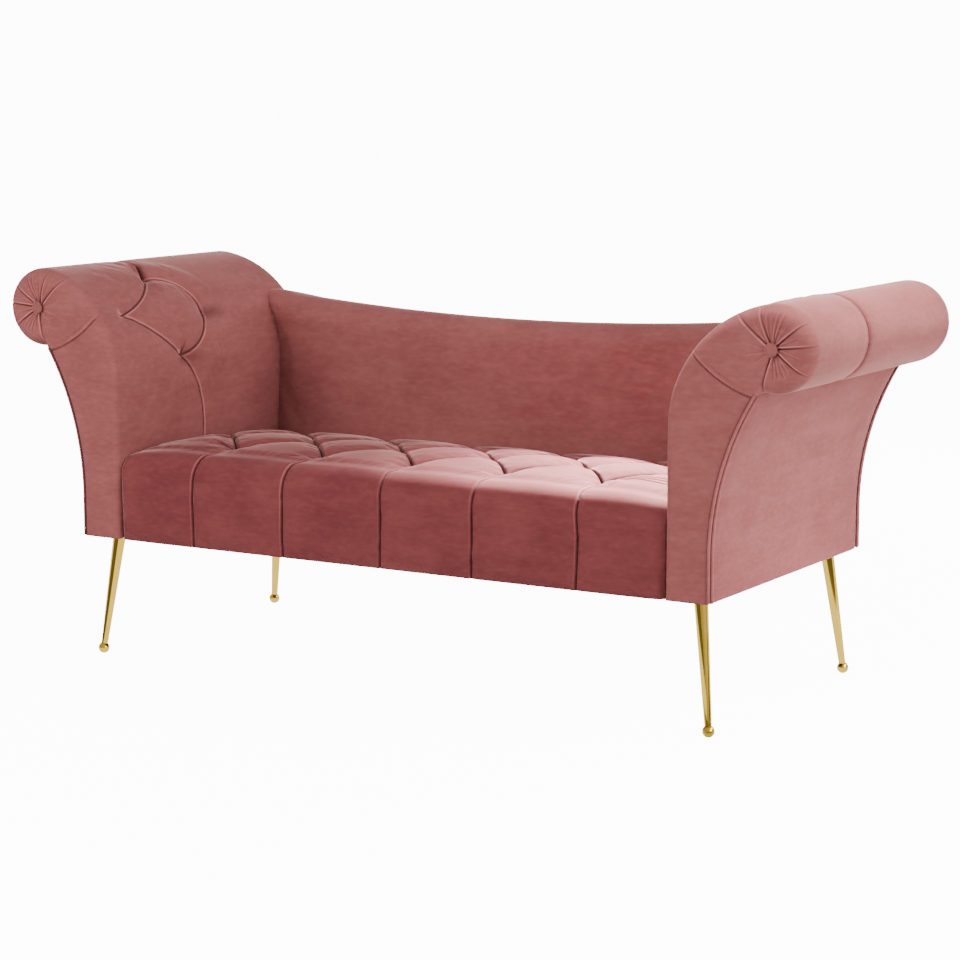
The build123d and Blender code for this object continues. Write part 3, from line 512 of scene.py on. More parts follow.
def nap_group():
    # mottled pile: broad patches where the nap lies one way or the other, streaks across them, and fine
    # fibre; the Fold input adds painted highlight and painted shade
    group = bpy.data.node_groups.new("velvet_nap", "ShaderNodeTree")
    for name, kind, way in (("Shadow", "Color", "INPUT"), ("Light", "Color", "INPUT"),
                            ("Patch", "Float", "INPUT"), ("Fold", "Float", "INPUT"),
                            ("Color", "Color", "OUTPUT"), ("Height", "Float", "OUTPUT")):
        group.interface.new_socket(name, in_out=way, socket_type="NodeSocket" + kind)
    given = group.nodes.new("NodeGroupInput").outputs
    out = group.nodes.new("NodeGroupOutput").inputs
    place = add_node(group, "TexCoord")
    patches = add_node(group, "TexNoise", {"Detail": 3, "Distortion": 0.6},
                       {"Vector": place.outputs["Object"], "Scale": given["Patch"]})
    streaks = object_noise(group, 16, 5, (0.6, 0.6, 2.6))
    fibre = object_noise(group, 900, 2)
    crush = object_noise(group, 38, 3)
    ruffled = object_noise(group, 110, 6, (0.5, 0.5, 1.3))
    pile = add_node(group, "Math", {1: 0.35}, {0: fibre, 2: crush}, operation="MULTIPLY_ADD")
    broad = add_node(group, "Math", {1: 0.55}, {0: patches.outputs["Fac"]}, operation="MULTIPLY")
    blend = add_node(group, "Math", {1: 0.45}, {0: streaks, 2: broad.outputs["Value"]},
                     operation="MULTIPLY_ADD")

    def scaled(colour, amount):
        deeper = add_node(group, "VectorMath", {"Scale": amount}, {0: colour}, operation="SCALE")
        return deeper.outputs["Vector"]

    def mixed(share, first, second):
        mix = add_node(group, "Mix", feeds={"Factor": share, "A": first, "B": second}, data_type="RGBA")
        return mix.outputs["Result"]

    nap = mixed(range_between(group, blend.outputs["Value"], 0, 1, 0.3, 0.7), given["Shadow"], given["Light"])
    # ruffled gives random lighter and darker flecks of pile; Fold gives the painted highlight and the painted
    # shade
    # (what decides, where it starts, where it is full, most share, colour, how much of the colour)
    for value, start, end, most, colour, amount in ((ruffled, 0.5, 0.74, 0.2, "Light", 1.4),
                                                    (ruffled, 0.48, 0.26, 0.2, "Shadow", 0.7),
                                                    (given["Fold"], 0.1, 0.9, 0.75, "Light", 2.4),
                                                    (given["Fold"], -0.2, -0.8, 0.9, "Shadow", 0.28)):
        nap = mixed(range_between(group, value, 0, most, start, end), nap, scaled(given[colour], amount))
    group.links.new(nap, out["Color"])
    group.links.new(pile.outputs["Value"], out["Height"])
    return group


velvet_nap = nap_group()


def velvet(name, shadow, light, patch):
    material, tree, shader = new_material(name)
    # fold_line carries the painted highlights and painted shade of the folds
    folded = add_node(tree, "Attribute", attribute_name="fold_line")
    nap = add_node(tree, "Group", {"Shadow": (*shadow, 1), "Light": (*light, 1), "Patch": patch},
                   {"Fold": folded.outputs["Fac"]}, node_tree=velvet_nap)
    tree.links.new(nap.outputs["Color"], shader.inputs["Base Color"])
    shader.inputs["Roughness"].default_value = 0.9
    shader.inputs["Specular IOR Level"].default_value = 0.1
    shader.inputs["Sheen Weight"].default_value = 0.5
    shader.inputs["Sheen Roughness"].default_value = 0.28
    shader.inputs["Sheen Tint"].default_value = (1.0, 0.56, 0.51, 1)
    raise_by(tree, nap.outputs["Height"], 0.35, 0.0009, shader)
    return material


def finish_cover(piece, material, stands_for):
    piece.data.materials.clear()
    piece.data.materials.append(material)
    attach(piece, "root")
    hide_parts(stands_for)


# the seat's copy of the rose velvet is darker, painted shade: under this lighting the seat looks darker than
# the arms
seat_velvet = velvet("rose_velvet_seat_shaded", (0.105, 0.022, 0.024), (0.155, 0.039, 0.039), 6.0)
shell(seat_cover, cover_thick)
finish_cover(seat_cover, seat_velvet, "seat_cover")


# Inside back
# One plain piece of velvet over foam, rounded over the bowed top rail and tucked in beside the arms.
# It leans back a little, and its top edge dips in the middle.

back_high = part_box("back_cover")[1]
roll_low, roll_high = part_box("right_arm_roll_rail")
inside_x = arm_low.x
rear_y = arm_high.y
roll_x = (roll_low.x + roll_high.x) / 2
roll_z = (roll_low.z + roll_high.z) / 2
roll_radius = arm_high.z - roll_z
shoulder_z = 0.54            # where the arm's inside face starts to roll outwards
roll_rise = roll_z - shoulder_z
roll_reach = roll_x - inside_x
inside_radius = (roll_rise**2 + roll_reach**2 - roll_radius**2) / (2 * (roll_reach - roll_radius))
inside_turn = atan2(roll_rise, inside_radius - roll_reach)
back_mid_z = 0.646
back_rise = 0.037
back_foot_z = 0.352
back_foot_y = rear_y - 0.133
back_brow_y = rear_y - 0.109
back_rear_y = back_high.y
back_bow = 0.005             # front face is hollowed by this
back_tuck = 0.12             # the ends are drawn in by this share of the thickness, and down by the drop
back_tuck_drop = 0.004
back_tuck_width = 0.010
back_overlap = 0.001         # and reach into the arms by this
rear_drop_mid = 0.028        # behind, the cover runs down this far, and further beside the arms
rear_drop_end = 0.075
rose_velvet = velvet("rose_velvet", (0.172, 0.048, 0.046), (0.228, 0.073, 0.069), 5.0)


def inside_face(z):
    # how far out the arm's inside face has curved at a height
    up = np.clip(z - shoulder_z, 0, inside_radius * sin(inside_turn))
    return inside_x + inside_radius - np.sqrt(inside_radius**2 - up**2)


across = spaced(-1, 1, 0.012)
up_steps = spaced(0, 1, 0.024)
over_steps = spaced(0, pi, 0.14)
down_steps = spaced(0, 1, 0.1)
up_count, over_count, down_count = len(up_steps), len(over_steps), len(down_steps)
back_cover, column, row = cloth_grid("back_velvet", len(across), up_count + over_count + down_count - 2)
share = across[column]
top_z = back_mid_z + back_rise * share**2
round_radius = (back_rear_y - back_brow_y) / 2
middle_y = back_brow_y + round_radius
brow_z = top_z - round_radius
tuck = np.exp(-(1 - np.abs(share)) * inside_x / back_tuck_width)
climb = np.clip(row / (up_count - 1), 0, 1)
turn = over_steps[np.clip(row - up_count + 1, 0, over_count - 1)]
drop = down_steps[np.clip(row - up_count - over_count + 2, 0, down_count - 1)]
drop = drop * (rear_drop_mid + rear_drop_end * tuck**2)
on_front = row < up_count
back_z = np.where(on_front, back_foot_z + (brow_z - back_foot_z) * climb,
                  brow_z + round_radius * np.sin(turn) - drop)
back_y = np.where(on_front, back_foot_y + (back_brow_y - back_foot_y) * climb + back_bow * np.sin(pi * climb),
                  back_brow_y + round_radius * (1 - np.cos(turn)))
reach = inside_face(np.minimum(back_z, top_z)) + back_overlap
back_y = back_y + (middle_y - back_y) * back_tuck * tuck
back_z = back_z - back_tuck_drop * tuck * (back_z > brow_z)
place_corners(back_cover, np.column_stack([share * reach, back_y, back_z]))
swell(back_cover, rim_of(column, row), reach=0.003, pressure=1.5, slack=0.004)
refine(back_cover)
shell(back_cover, cover_thick)
finish_cover(back_cover, rose_velvet, "back_cover")


# Arm covers
# Velvet over wadding, drawn up the inside face over the roll and down to the neck. Four blind tufts pull the
# inside into curved pleats, the roll's ends are gathered to a button, and a fold crosses the facing's neck.

arm_foot = 0.086
panel_inset = 0.0005         # the facing reaches the outline, and the cover behind it is let in for the panel
panel_seat = 0.005
flare_z = 0.32
neck_turn = radians(-107)
neck = (roll_x + roll_radius * cos(neck_turn), roll_z + roll_radius * sin(neck_turn))
flare_in = neck[0] - inside_x - arm_foot
flare_radius = (flare_in**2 + (neck[1] - flare_z) ** 2) / (2 * flare_in)
flare_x = inside_x + arm_foot + flare_radius
front_edge = 0.014           # rounding of the facing's inside edge, and of the roll's
front_roll_edge = 0.028
rear_edge = 0.012
rear_roll_edge = 0.045
edge_start = 0.45            # the wider rounding begins at this share of the way up the inside
square_edge = 0.85           # outer edges and the sole lose this share of the rounding


def outer_face(z, inset):
    rise = np.maximum(z - flare_z, 0)
    return flare_x - np.sqrt((flare_radius + inset) ** 2 - rise**2)


def arm_outline():
    # places round the right arm's section, each with its outward direction, the spine point its end rows run
    # to, how much of the roll's rounding it has, and whether it is square
    bend = spaced(0, inside_turn, 0.0075 / inside_radius)
    inner = [((inside_x, z), (-1, 0)) for z in spaced(hem_z, shoulder_z, 0.011)[:-1]]
    inner += [((inside_x + inside_radius * (1 - cos(a)), shoulder_z + inside_radius * sin(a)),
               (-cos(a), sin(a))) for a in bend]
    roll = [((roll_x + roll_radius * cos(a), roll_z + roll_radius * sin(a)), (cos(a), sin(a)))
            for a in spaced(pi - inside_turn, neck_turn, 0.0065 / roll_radius)][1:]
    heights = np.linspace(neck[1], hem_z, len(inner) + 1)[1:]
    outer = [((float(outer_face(z, panel_inset)), z), (1, 0)) for z in heights]
    sole = [((x, hem_z), (0, -1)) for x in np.linspace(outer[-1][0][0], inside_x, 6)[1:]]
    hub = np.array((roll_x, roll_z))
    up_inner = np.linspace(0, 1, len(inner))
    spine = [np.add(a[0], b[0]) / 2 * (1 - s**3) + hub * s**3
             for a, b, s in zip(inner, reversed(outer), up_inner)]
    ring = inner + roll + outer + sole
    ends = spine + [hub] * len(roll) + spine[::-1] + [spine[0]] * len(sole)
    curve = np.maximum(0, (up_inner - edge_start) / (1 - edge_start))
    plain = np.zeros(len(outer) + len(sole))
    edge_share = np.concatenate([curve, np.ones(len(roll)), plain])
    square = np.concatenate([np.zeros(len(inner) + len(roll)), plain + 1])
    return np.array([p for p, _ in ring]), np.array([n for _, n in ring]), np.array(ends), edge_share, square


ring, outward, spine, edge_share, square = arm_outline()
front_radius = (front_edge + (front_roll_edge - front_edge) * edge_share) * (1 - square_edge * square)
rear_radius = (rear_edge + (rear_roll_edge - rear_edge) * edge_share) * (1 - square_edge * square)
cap_rows = np.linspace(1, 0, 11)
edge_turns = np.linspace(0, pi / 2, 8)
body_rows = np.linspace(0, 1, 92)
arm_rows = ([("front", q) for q in cap_rows[:-1]] + [("front_edge", a) for a in edge_turns]
            + [("body", s) for s in body_rows[1:-1]] + [("rear_edge", a) for a in edge_turns[::-1]]
            + [("rear", q) for q in cap_rows[::-1][1:]])


def arm_row(kind, amount):
    if kind in ("front", "front_edge"):
        radius, face_y, step = front_radius, facing_y, 1
    else:
        radius, face_y, step = rear_radius, rear_y, -1
    if kind == "body":
        section = ring - outward * (panel_seat * square)[:, None]
        y = facing_y + front_radius + (rear_y - rear_radius - facing_y - front_radius) * amount
    elif kind in ("front", "rear"):
        section = ring - outward * radius[:, None]
        section = section + (spine - section) * amount
        y = np.full(len(ring), face_y)
    else:
        section = ring - outward * (radius * (1 - np.sin(amount)))[:, None]
        y = face_y + step * radius * (1 - np.cos(amount))
    return np.column_stack([section[:, 0], y, section[:, 1]])


tuft_places = ((-0.085, 0.729), (-0.241, 0.668), (0.008, 0.657), (-0.102, 0.577))   # (y, z) on the inside
tuft_field = 0.15            # the pleats and puffs fade out at this distance from the tufts' middle
arm_puff = 0.012             # height of the puffs over their pleats, and how deep the pleats lie
arm_sink = 0.006
arm_puff_width = 0.030
arm_fold = 0.0036            # depth and width of the folded line of a pleat
arm_line = 0.0019
arm_bowl = 0.005             # hollow round a tuft, and the tight pit in it
arm_bowl_width = 0.034
arm_pit = 0.0025
arm_pit_width = 0.010
tuft_mark_width = 0.006
tuft_highlight_at = (-0.006, 0.006)  # beside each tuft a painted highlight on the gathered edge, and painted shade below it
shade_at = (0.018, -0.005)
shade_stretch = (0.4, 1.0)
shade_width = 0.022
crease_hollow = 0.004        # the crease over the roll lies in a soft hollow, folded deeper than a pleat
crease_hollow_width = 0.012
crease_line = 0.0031
crease_fold = 2.3
crease_shade = (0.002, 0.009)
below_folds = -0.3           # cloth further down than this from the shoulder stays plain
plain_share = 0.1            # where the tufts' field has faded to this share, the cloth is held
end_zone = 0.03              # smaller quads within this of the ends, on the roll and this far round it
roll_margin = 0.02
facing_share = 0.02          # and beside the facing's fold, over a wider strip than beside a pleat
face_zone = 0.03             # a point within this of the inside face belongs to it
roll_seam = 0.2              # angle past the inside's end where the turn round the roll starts from below
roll_core = 0.6              # points nearer the roll's middle than this share belong to its ends
far_below = -9.0


def up_inside(y, z):
    above = z - shoulder_z
    return (y, inside_radius * np.arcsin(above / inside_radius) if above > 0 else above)


def bowed(a, b, bow):
    # curved pleat from a to b, pushed sideways by bow at its middle
    a, b = np.array(a), np.array(b)
    aside = np.array((-(b - a)[1], (b - a)[0])) / np.linalg.norm(b - a)
    return [a + (b - a) * s + aside * bow * 4 * s * (1 - s) for s in np.linspace(0, 1, 13)]


arm_tufts = [up_inside(*place) for place in tuft_places]
top_tuft, fore_tuft, aft_tuft, low_tuft = arm_tufts
over_end = inside_radius * inside_turn + roll_radius * (pi - inside_turn - neck_turn)
arm_pleats = [bowed(top_tuft, fore_tuft, 0.015), bowed(top_tuft, aft_tuft, 0.024),
              bowed(fore_tuft, low_tuft, 0.002), bowed(aft_tuft, low_tuft, 0.020),
              bowed(low_tuft, up_inside(-0.05, 0.403), 0.020)]
roll_crease = [top_tuft, (-0.068, top_tuft[1] + 0.04), (-0.076, top_tuft[1] + 0.12), (-0.095, over_end)]
arm_gathers = [bowed(fore_tuft, (facing_y + 0.03, fore_tuft[1] + 0.008), 0.003)]
for tuft, aside, up, bow in ((low_tuft, 0.004, 0.055, -0.004), (low_tuft, 0.016, 0.050, -0.004),
                             (aft_tuft, -0.012, 0.030, 0.002), (top_tuft, -0.006, -0.040, 0.003)):
    arm_gathers.append(bowed(tuft, (tuft[0] + aside, tuft[1] + up), bow))


def on_arm(points):
    # (y, distance up the inside face and over the roll), with the rest of the arm far below
    x, y, z = points.T
    x = np.abs(x)
    turn = np.arctan2(z - shoulder_z, inside_x + inside_radius - x)
    from_hub = np.hypot(z - shoulder_z, inside_x + inside_radius - x)
    inside = (np.abs(from_hub - inside_radius) < face_zone) & (turn <= inside_turn) & (turn >= 0)
    flat = (np.abs(x - inside_x) < face_zone) & (z < shoulder_z)
    roll_turn = np.arctan2(z - roll_z, x - roll_x)
    roll_turn = np.where(roll_turn > pi - inside_turn + roll_seam, roll_turn - 2 * pi, roll_turn)
    on_roll = np.hypot(z - roll_z, x - roll_x) > roll_radius * roll_core
    up = np.full(len(x), far_below)
    up = np.where(on_roll & (roll_turn > neck_turn) & ~inside,
                  inside_radius * inside_turn + roll_radius * (pi - inside_turn - roll_turn), up)
    up = np.where(inside, inside_radius * turn, up)
    up = np.where(flat, z - shoulder_z, up)
    return np.column_stack([y, up])


def from_ends(y):
    return np.minimum(np.abs(y - facing_y), np.abs(y - rear_y))


# folds round the button, as (angle in degrees, length, strength)
gather_rays = ((138, 0.098, 1.0), (109, 0.078, 0.9), (122, 0.056, 0.4), (97, 0.058, 0.5), (86, 0.053, 0.4),
               (77, 0.062, 0.6), (67, 0.070, 0.6), (52, 0.052, 0.4), (38, 0.080, 1.0), (22, 0.050, 0.4),
               (6, 0.076, 1.0), (-16, 0.050, 0.4), (-36, 0.078, 1.0), (-52, 0.047, 0.5), (-62, 0.049, 0.5),
               (-74, 0.047, 0.6), (-84, 0.049, 0.5), (-104, 0.073, 1.0), (165, 0.050, 0.4), (190, 0.046, 0.4),
               (215, 0.046, 0.4))
gather_start = 0.006
gather_fold = 0.0038
gather_line = 0.0016
gather_field = 0.13
gather_depth = 0.022         # the folds fade out within this distance from the end
button_hollow = 0.007
button_hollow_width = 0.026


def gathers(points):
    # folds drawn to the button at each end of the roll, their painted highlights and shade, and the hollow
    # that the button pulls
    x, y, z = points.T
    face = np.column_stack([np.abs(x) - roll_x, z - roll_z])
    radius = np.linalg.norm(face, axis=1)
    folds = np.zeros(len(x))
    marks = np.zeros(len(x))
    for angle, reach, strength in gather_rays:
        ray = np.array((cos(radians(angle)), sin(radians(angle))))
        path = [[ray * gather_start, ray * reach * 0.5, ray * reach]]
        fold = strength * folds_along(face, path, gather_line, 0.55)
        mark = strength * fold_marks(face, path, gather_line, 0.35)
        folds = np.where(np.abs(fold) > np.abs(folds), fold, folds)
        marks = np.where(np.abs(mark) > np.abs(marks), mark, marks)
    near_end = np.exp(-from_ends(y) / gather_depth) * (radius < gather_field)
    hollow = button_hollow * np.exp(-((radius / button_hollow_width) ** 2))
    return near_end * folds, near_end * marks, -near_end * hollow


fold_height = roll_z - 0.0085    # where the fold leaves the facing's inside edge
fold_turn = np.arcsin((fold_height - shoulder_z) / inside_radius)
fold_start = (inside_x + inside_radius * (1 - cos(fold_turn)), fold_height)
fold_foot = (neck[0] - 0.011, neck[1] - 0.009)
fold_path = bowed(fold_start, fold_foot, -0.010)
fold_step = 0.0022               # the cloth above the fold stands this much higher
fold_step_width = 0.008
fold_valley = 0.0026
fold_line = 0.0018
fold_highlight_off = 0.0035                # painted highlight this far beside the fold
second_fold = 0.0012             # shallower crease above it
second_height = 0.010
fold_settle = 0.03
facing_depth = 0.008             # both fade out within this distance from the end


def facing_fold(points):
    # the gathered cloth is folded under across the facing, from its inside edge down to the neck, with a
    # painted highlight beside the fold and painted shade in it
    x, y, z = points.T
    above, along = beside(np.column_stack([np.abs(x), z]), fold_path)
    on_face = np.exp(-from_ends(y) / facing_depth)
    lip = np.exp(-(((above - fold_highlight_off) / fold_line) ** 2))
    valley = np.exp(-np.abs(above) / fold_line)
    second = np.exp(-np.abs(above - second_height) / fold_line) * np.sin(pi * np.clip(along, 0, 1))
    step = 0.5 * np.clip(above / fold_step_width, -1, 1) * np.exp(-np.abs(above) / fold_settle)
    return (on_face * (fold_step * step - fold_valley * valley - second_fold * second),
            on_face * (0.7 * lip * (1 - valley) - valley - 0.5 * second))


def arm_marks(cloth):
    # painted highlights on the pleats' folded edges and painted shade in their valleys, painted shade behind
    # the roll's crease, and painted highlight and shade round the tufts
    marks = fold_marks(cloth, arm_pleats, arm_line) - shade_behind(cloth, [roll_crease], *crease_shade)
    marks += 0.3 * np.maximum(fold_marks(cloth, [roll_crease], crease_line), 0)
    marks += 0.7 * fold_marks(cloth, arm_gathers, arm_line, 0.9)
    marks += 0.9 * dimples_at(cloth, np.add(arm_tufts, tuft_highlight_at), tuft_mark_width)
    shaded_tufts = np.add((aft_tuft, low_tuft), shade_at) * shade_stretch
    marks -= 0.55 * dimples_at(cloth * shade_stretch, shaded_tufts, shade_width)
    return marks - 0.5 * dimples_at(cloth, arm_tufts, tuft_mark_width)


def mirror_left(piece):
    place_corners(piece, corners_of(piece) * (-1, 1, 1))
    piece.data.flip_normals()


def make_arm(name):
    piece, column, row = cloth_grid(name, len(ring) + 1, len(arm_rows))
    rows = np.array([arm_row(kind, amount) for kind, amount in arm_rows])
    place_corners(piece, rows[row, column % len(ring)])
    shape = bmesh.new()
    shape.from_mesh(piece.data)
    bmesh.ops.remove_doubles(shape, verts=shape.verts, dist=1e-5)
    bmesh.ops.dissolve_degenerate(shape, edges=shape.edges, dist=1e-6)
    bmesh.ops.recalc_face_normals(shape, faces=shape.faces)
    shape.to_mesh(piece.data)
    shape.free()

    cloth = on_arm(corners_of(piece))
    shaped = cloth[:, 1] > below_folds
    puffed = arm_puff * puffs_between(cloth, arm_pleats, arm_puff_width) - arm_sink
    from_tufts = np.linalg.norm(cloth - np.mean(arm_tufts, axis=0), axis=1)
    near_tufts = np.exp(-(from_tufts / tuft_field) ** 6)
    sunk = arm_bowl * dimples_at(cloth, arm_tufts, arm_bowl_width)
    sunk = sunk + crease_hollow * creases_along(cloth, [roll_crease], crease_hollow_width)
    push_out(piece, np.where(shaped, puffed * near_tufts - sunk, 0))
    stitched = creases_along(cloth, arm_pleats, fold_zone) > stitched_share
    held = stitched | ~shaped | (near_tufts < plain_share)
    swell(piece, held, reach=0.003, pressure=2.5, slack=0.02)
    refine(piece)

    points = corners_of(piece)
    face = points[:, [0, 2]]
    on_end = from_ends(points[:, 1]) < end_zone
    on_roll_end = np.linalg.norm(face - (roll_x, roll_z), axis=1) < roll_radius + roll_margin
    inside_paths = arm_pleats + arm_gathers + [roll_crease]
    folded = creases_along(on_arm(points), inside_paths, fold_zone) > divided_share
    by_facing_fold = creases_along(face, [fold_path], fold_zone) > facing_share
    divide_near(piece, folded | on_end & (on_roll_end | by_facing_fold))

    points = corners_of(piece)
    cloth = on_arm(points)
    shaped = cloth[:, 1] > below_folds
    folds = folds_along(cloth, arm_pleats, arm_line)
    folds = folds + crease_fold * folds_along(cloth, [roll_crease], crease_line)
    folds = folds + 0.6 * folds_along(cloth, arm_gathers, 0.8 * arm_line, 0.9)
    inside_folds = arm_fold * folds - arm_pit * dimples_at(cloth, arm_tufts, arm_pit_width)
    rays, ray_marks, hollow = gathers(points)
    turned, turned_marks = facing_fold(points)
    push_out(piece, np.where(shaped, inside_folds, 0) + gather_fold * rays + hollow + turned)
    mark_folds(piece, np.where(shaped, arm_marks(cloth), 0) + ray_marks + turned_marks)
    return piece


for word in ("right", "left"):
    arm_cover = make_arm(word + "_arm_velvet")
    if word == "left":
        mirror_left(arm_cover)
    finish_cover(arm_cover, rose_velvet, word + "_arm_cover")


# Outside arm panels
# Plain velvet pulled over board, back-tacked under the roll and closed along both edges by the welts.
# Each panel follows the arm's flare and is stretched flat.

panel_low, panel_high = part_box("right_arm_outside_panel")
panel_top_z = neck[1] - 0.002
panel_width = panel_high.y - panel_low.y
panel_turn_in = 0.003        # the edges are pulled in by this, over the next width
panel_turn_width = 0.012
panel_thick = 0.0025
panel_span = (0.62, 0.36)    # about its width and height, for the distance from its edges
panel_steps = spaced(0, 1, 0.025)


def make_outside(name):
    piece, column, row = cloth_grid(name, len(panel_steps), len(panel_steps))
    along, up = panel_steps[column], panel_steps[row]
    z = hem_z + (panel_top_z - hem_z) * up
    y = panel_low.y + panel_width * along
    edge = np.minimum(np.minimum(along, 1 - along) * panel_span[0], np.minimum(up, 1 - up) * panel_span[1])
    inset = panel_turn_in * np.exp(-edge / panel_turn_width)
    place_corners(piece, np.column_stack([outer_face(z, inset), y, z]))
    refine(piece)
    shell(piece, panel_thick)
    return piece


for word in ("right", "left"):
    outside = make_outside(word + "_outside_velvet")
    if word == "left":
        mirror_left(outside)
    finish_cover(outside, rose_velvet, word + "_arm_outside_panel")


# Welts
# Cord sewn into a folded strip of the same velvet: two cords side by side down each arm's outer front edge,
# and one down its outer rear edge.

welt_radius = 0.0036
rear_welt_radius = 0.0024
welt_start = 0.002
welt_stop = 0.006
welt_turn = np.arcsin((neck[1] - welt_stop - flare_z) / flare_radius)
cord_lean = (0.8, 0.6)           # the cords look outwards and forwards; painted shade darkens them towards their roots
cord_shade_share = 0.55                 # under this share of its radius a cord gets painted shade, and its top a little painted highlight
cord_pace = 2.2
cord_highlight = 0.25
front_cords = ((-0.0030, facing_y + 0.0012), (0.0002, facing_y + 0.0086))     # (outwards of the edge, y)
rear_cords = ((-0.0010, rear_y - 0.010),)


def make_welt(side, name, radius, places):
    shape = bmesh.new()
    for out, y in places:
        made = bmesh.ops.create_circle(shape, segments=12, radius=radius)
        foot = (inside_x + arm_foot + out, y, hem_z + welt_start)
        bmesh.ops.translate(shape, verts=made["verts"], vec=foot)
        rim_edges = [e for e in shape.edges if e.is_wire]
        pulled = bmesh.ops.extrude_edge_only(shape, edges=rim_edges)["geom"]
        tip = [g for g in pulled if isinstance(g, bmesh.types.BMVert)]
        bmesh.ops.translate(shape, verts=tip, vec=(0, 0, flare_z - hem_z - welt_start))
        tip_edges = [g for g in pulled if isinstance(g, bmesh.types.BMEdge)
                     and all(abs(v.co.z - flare_z) < 1e-6 for v in g.verts)]
        bmesh.ops.spin(shape, geom=tip_edges, cent=(flare_x, 0, flare_z), axis=(0, 1, 0), angle=welt_turn,
                       steps=28)
        bmesh.ops.holes_fill(shape, edges=[e for e in shape.edges if e.is_boundary], sides=0)
    if side < 0:
        bmesh.ops.scale(shape, verts=shape.verts, vec=(-1, 1, 1))
    bmesh.ops.recalc_face_normals(shape, faces=shape.faces)
    piece = object_from(shape, name)
    smooth(piece.data)
    x, y, z = corners_of(piece).T
    from_flare = np.hypot(flare_x - np.abs(x), np.maximum(z - flare_z, 0))
    proud = np.full(len(x), -np.inf)
    for out, cord_y in places:
        over = (flare_radius - out - from_flare) * cord_lean[0] + (cord_y - y) * cord_lean[1]
        proud = np.maximum(proud, np.where(np.abs(y - cord_y) < radius * 1.01, over / radius, -np.inf))
    # painted shade down where the cords meet each other and the cover, and a little painted highlight on
    # their tops
    mark_folds(piece, np.clip((proud - cord_shade_share) * cord_pace, -1, cord_highlight))
    return piece


for side, word in ((1, "right"), (-1, "left")):
    front_welt = make_welt(side, word + "_front_cords", welt_radius, front_cords)
    finish_cover(front_welt, rose_velvet, word + "_arm_front_welt")
    rear_welt = make_welt(side, word + "_rear_cord", rear_welt_radius, rear_cords)
    finish_cover(rear_welt, rose_velvet, word + "_arm_rear_welt")


# Roll buttons
# Metal button shells covered in the velvet and tied through the ends of the rolls, one at each end.
# The cloth is drawn tight, so that each is a low dome with a slight bulge round its rim.

button_radius = 0.012
button_rise = 0.0032
button_bulge = 1.06
bulge_start = 0.9            # angles from the dome's top between which it bulges
bulge_end = 1.4
button_sunk = 0.002


def make_buttons():
    shape = bmesh.new()
    for side in (1, -1):
        for face_y, way in ((facing_y, -1), (rear_y, 1)):
            outline = []
            for a in np.linspace(0, pi / 2, 8):
                bulge = button_bulge if bulge_start < a < bulge_end else 1
                outline.append(shape.verts.new((button_radius * sin(a) * bulge, 0, button_rise * cos(a))))
            geom = outline + [shape.edges.new(pair) for pair in zip(outline[:-1], outline[1:])]
            bmesh.ops.spin(shape, geom=geom, cent=(0, 0, 0), axis=(0, 0, 1), angle=2 * pi, steps=28,
                           use_merge=True)
            for v in [v for v in shape.verts if not v.tag]:
                y = face_y + way * (v.co.z - button_sunk)
                v.co = Vector((side * roll_x + v.co.x, y, roll_z + v.co.y))
                v.tag = True
    bmesh.ops.remove_doubles(shape, verts=shape.verts, dist=1e-6)
    bmesh.ops.holes_fill(shape, edges=[e for e in shape.edges if e.is_boundary], sides=0)
    bmesh.ops.recalc_face_normals(shape, faces=shape.faces)
    piece = object_from(shape, "velvet_buttons")
    smooth(piece.data)
    return piece


finish_cover(make_buttons(), rose_velvet, "roll_buttons")


# Outside back and linings
# Plain velvet tacked over the rear of the frame, and black non-woven lining stapled across the underside.
# The linings sag a little, and those under the arms are cut round the leg plates.

panel_back_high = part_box("outside_back_panel")[1]
back_panel_drop = 0.030      # the panel ends this far below the back's top
back_panel_sunk = 0.002      # its edges are let in by this, and its middle stands out from them by the crown
back_panel_crown = 0.004
back_panel_turn = 0.02
back_panel_span = (0.58, 0.4)    # about its half width and height, for the distance from its edges
across_back = spaced(-1, 1, 0.025)
up_back = spaced(0, 1, 0.04)
outside_back, column, row = cloth_grid("outside_back_velvet", len(across_back), len(up_back))
x = panel_back_high.x * across_back[column]
top = back_mid_z - back_panel_drop + back_rise * (x / inside_x) ** 2
z = hem_z + (top - hem_z) * up_back[row]
edge = np.minimum((1 - np.abs(across_back[column])) * back_panel_span[0],
                  np.minimum(up_back[row], 1 - up_back[row]) * back_panel_span[1])
y = panel_back_high.y - back_panel_sunk + back_panel_crown * (1 - np.exp(-edge / back_panel_turn))
place_corners(outside_back, np.column_stack([-x, y, z]))
refine(outside_back)
shell(outside_back, panel_thick)
finish_cover(outside_back, rose_velvet, "outside_back_panel")

lining = grained("black_lining", (0.008, 0.008, 0.009), (0.03, 0.03, 0.032), (0.75, 0.95), 260, 4,
                 bump=(0.4, 0.0008))
lining_sag = 0.0015
lining_thick = 0.0008
lining_cell = 0.03
plate_room = 0.002


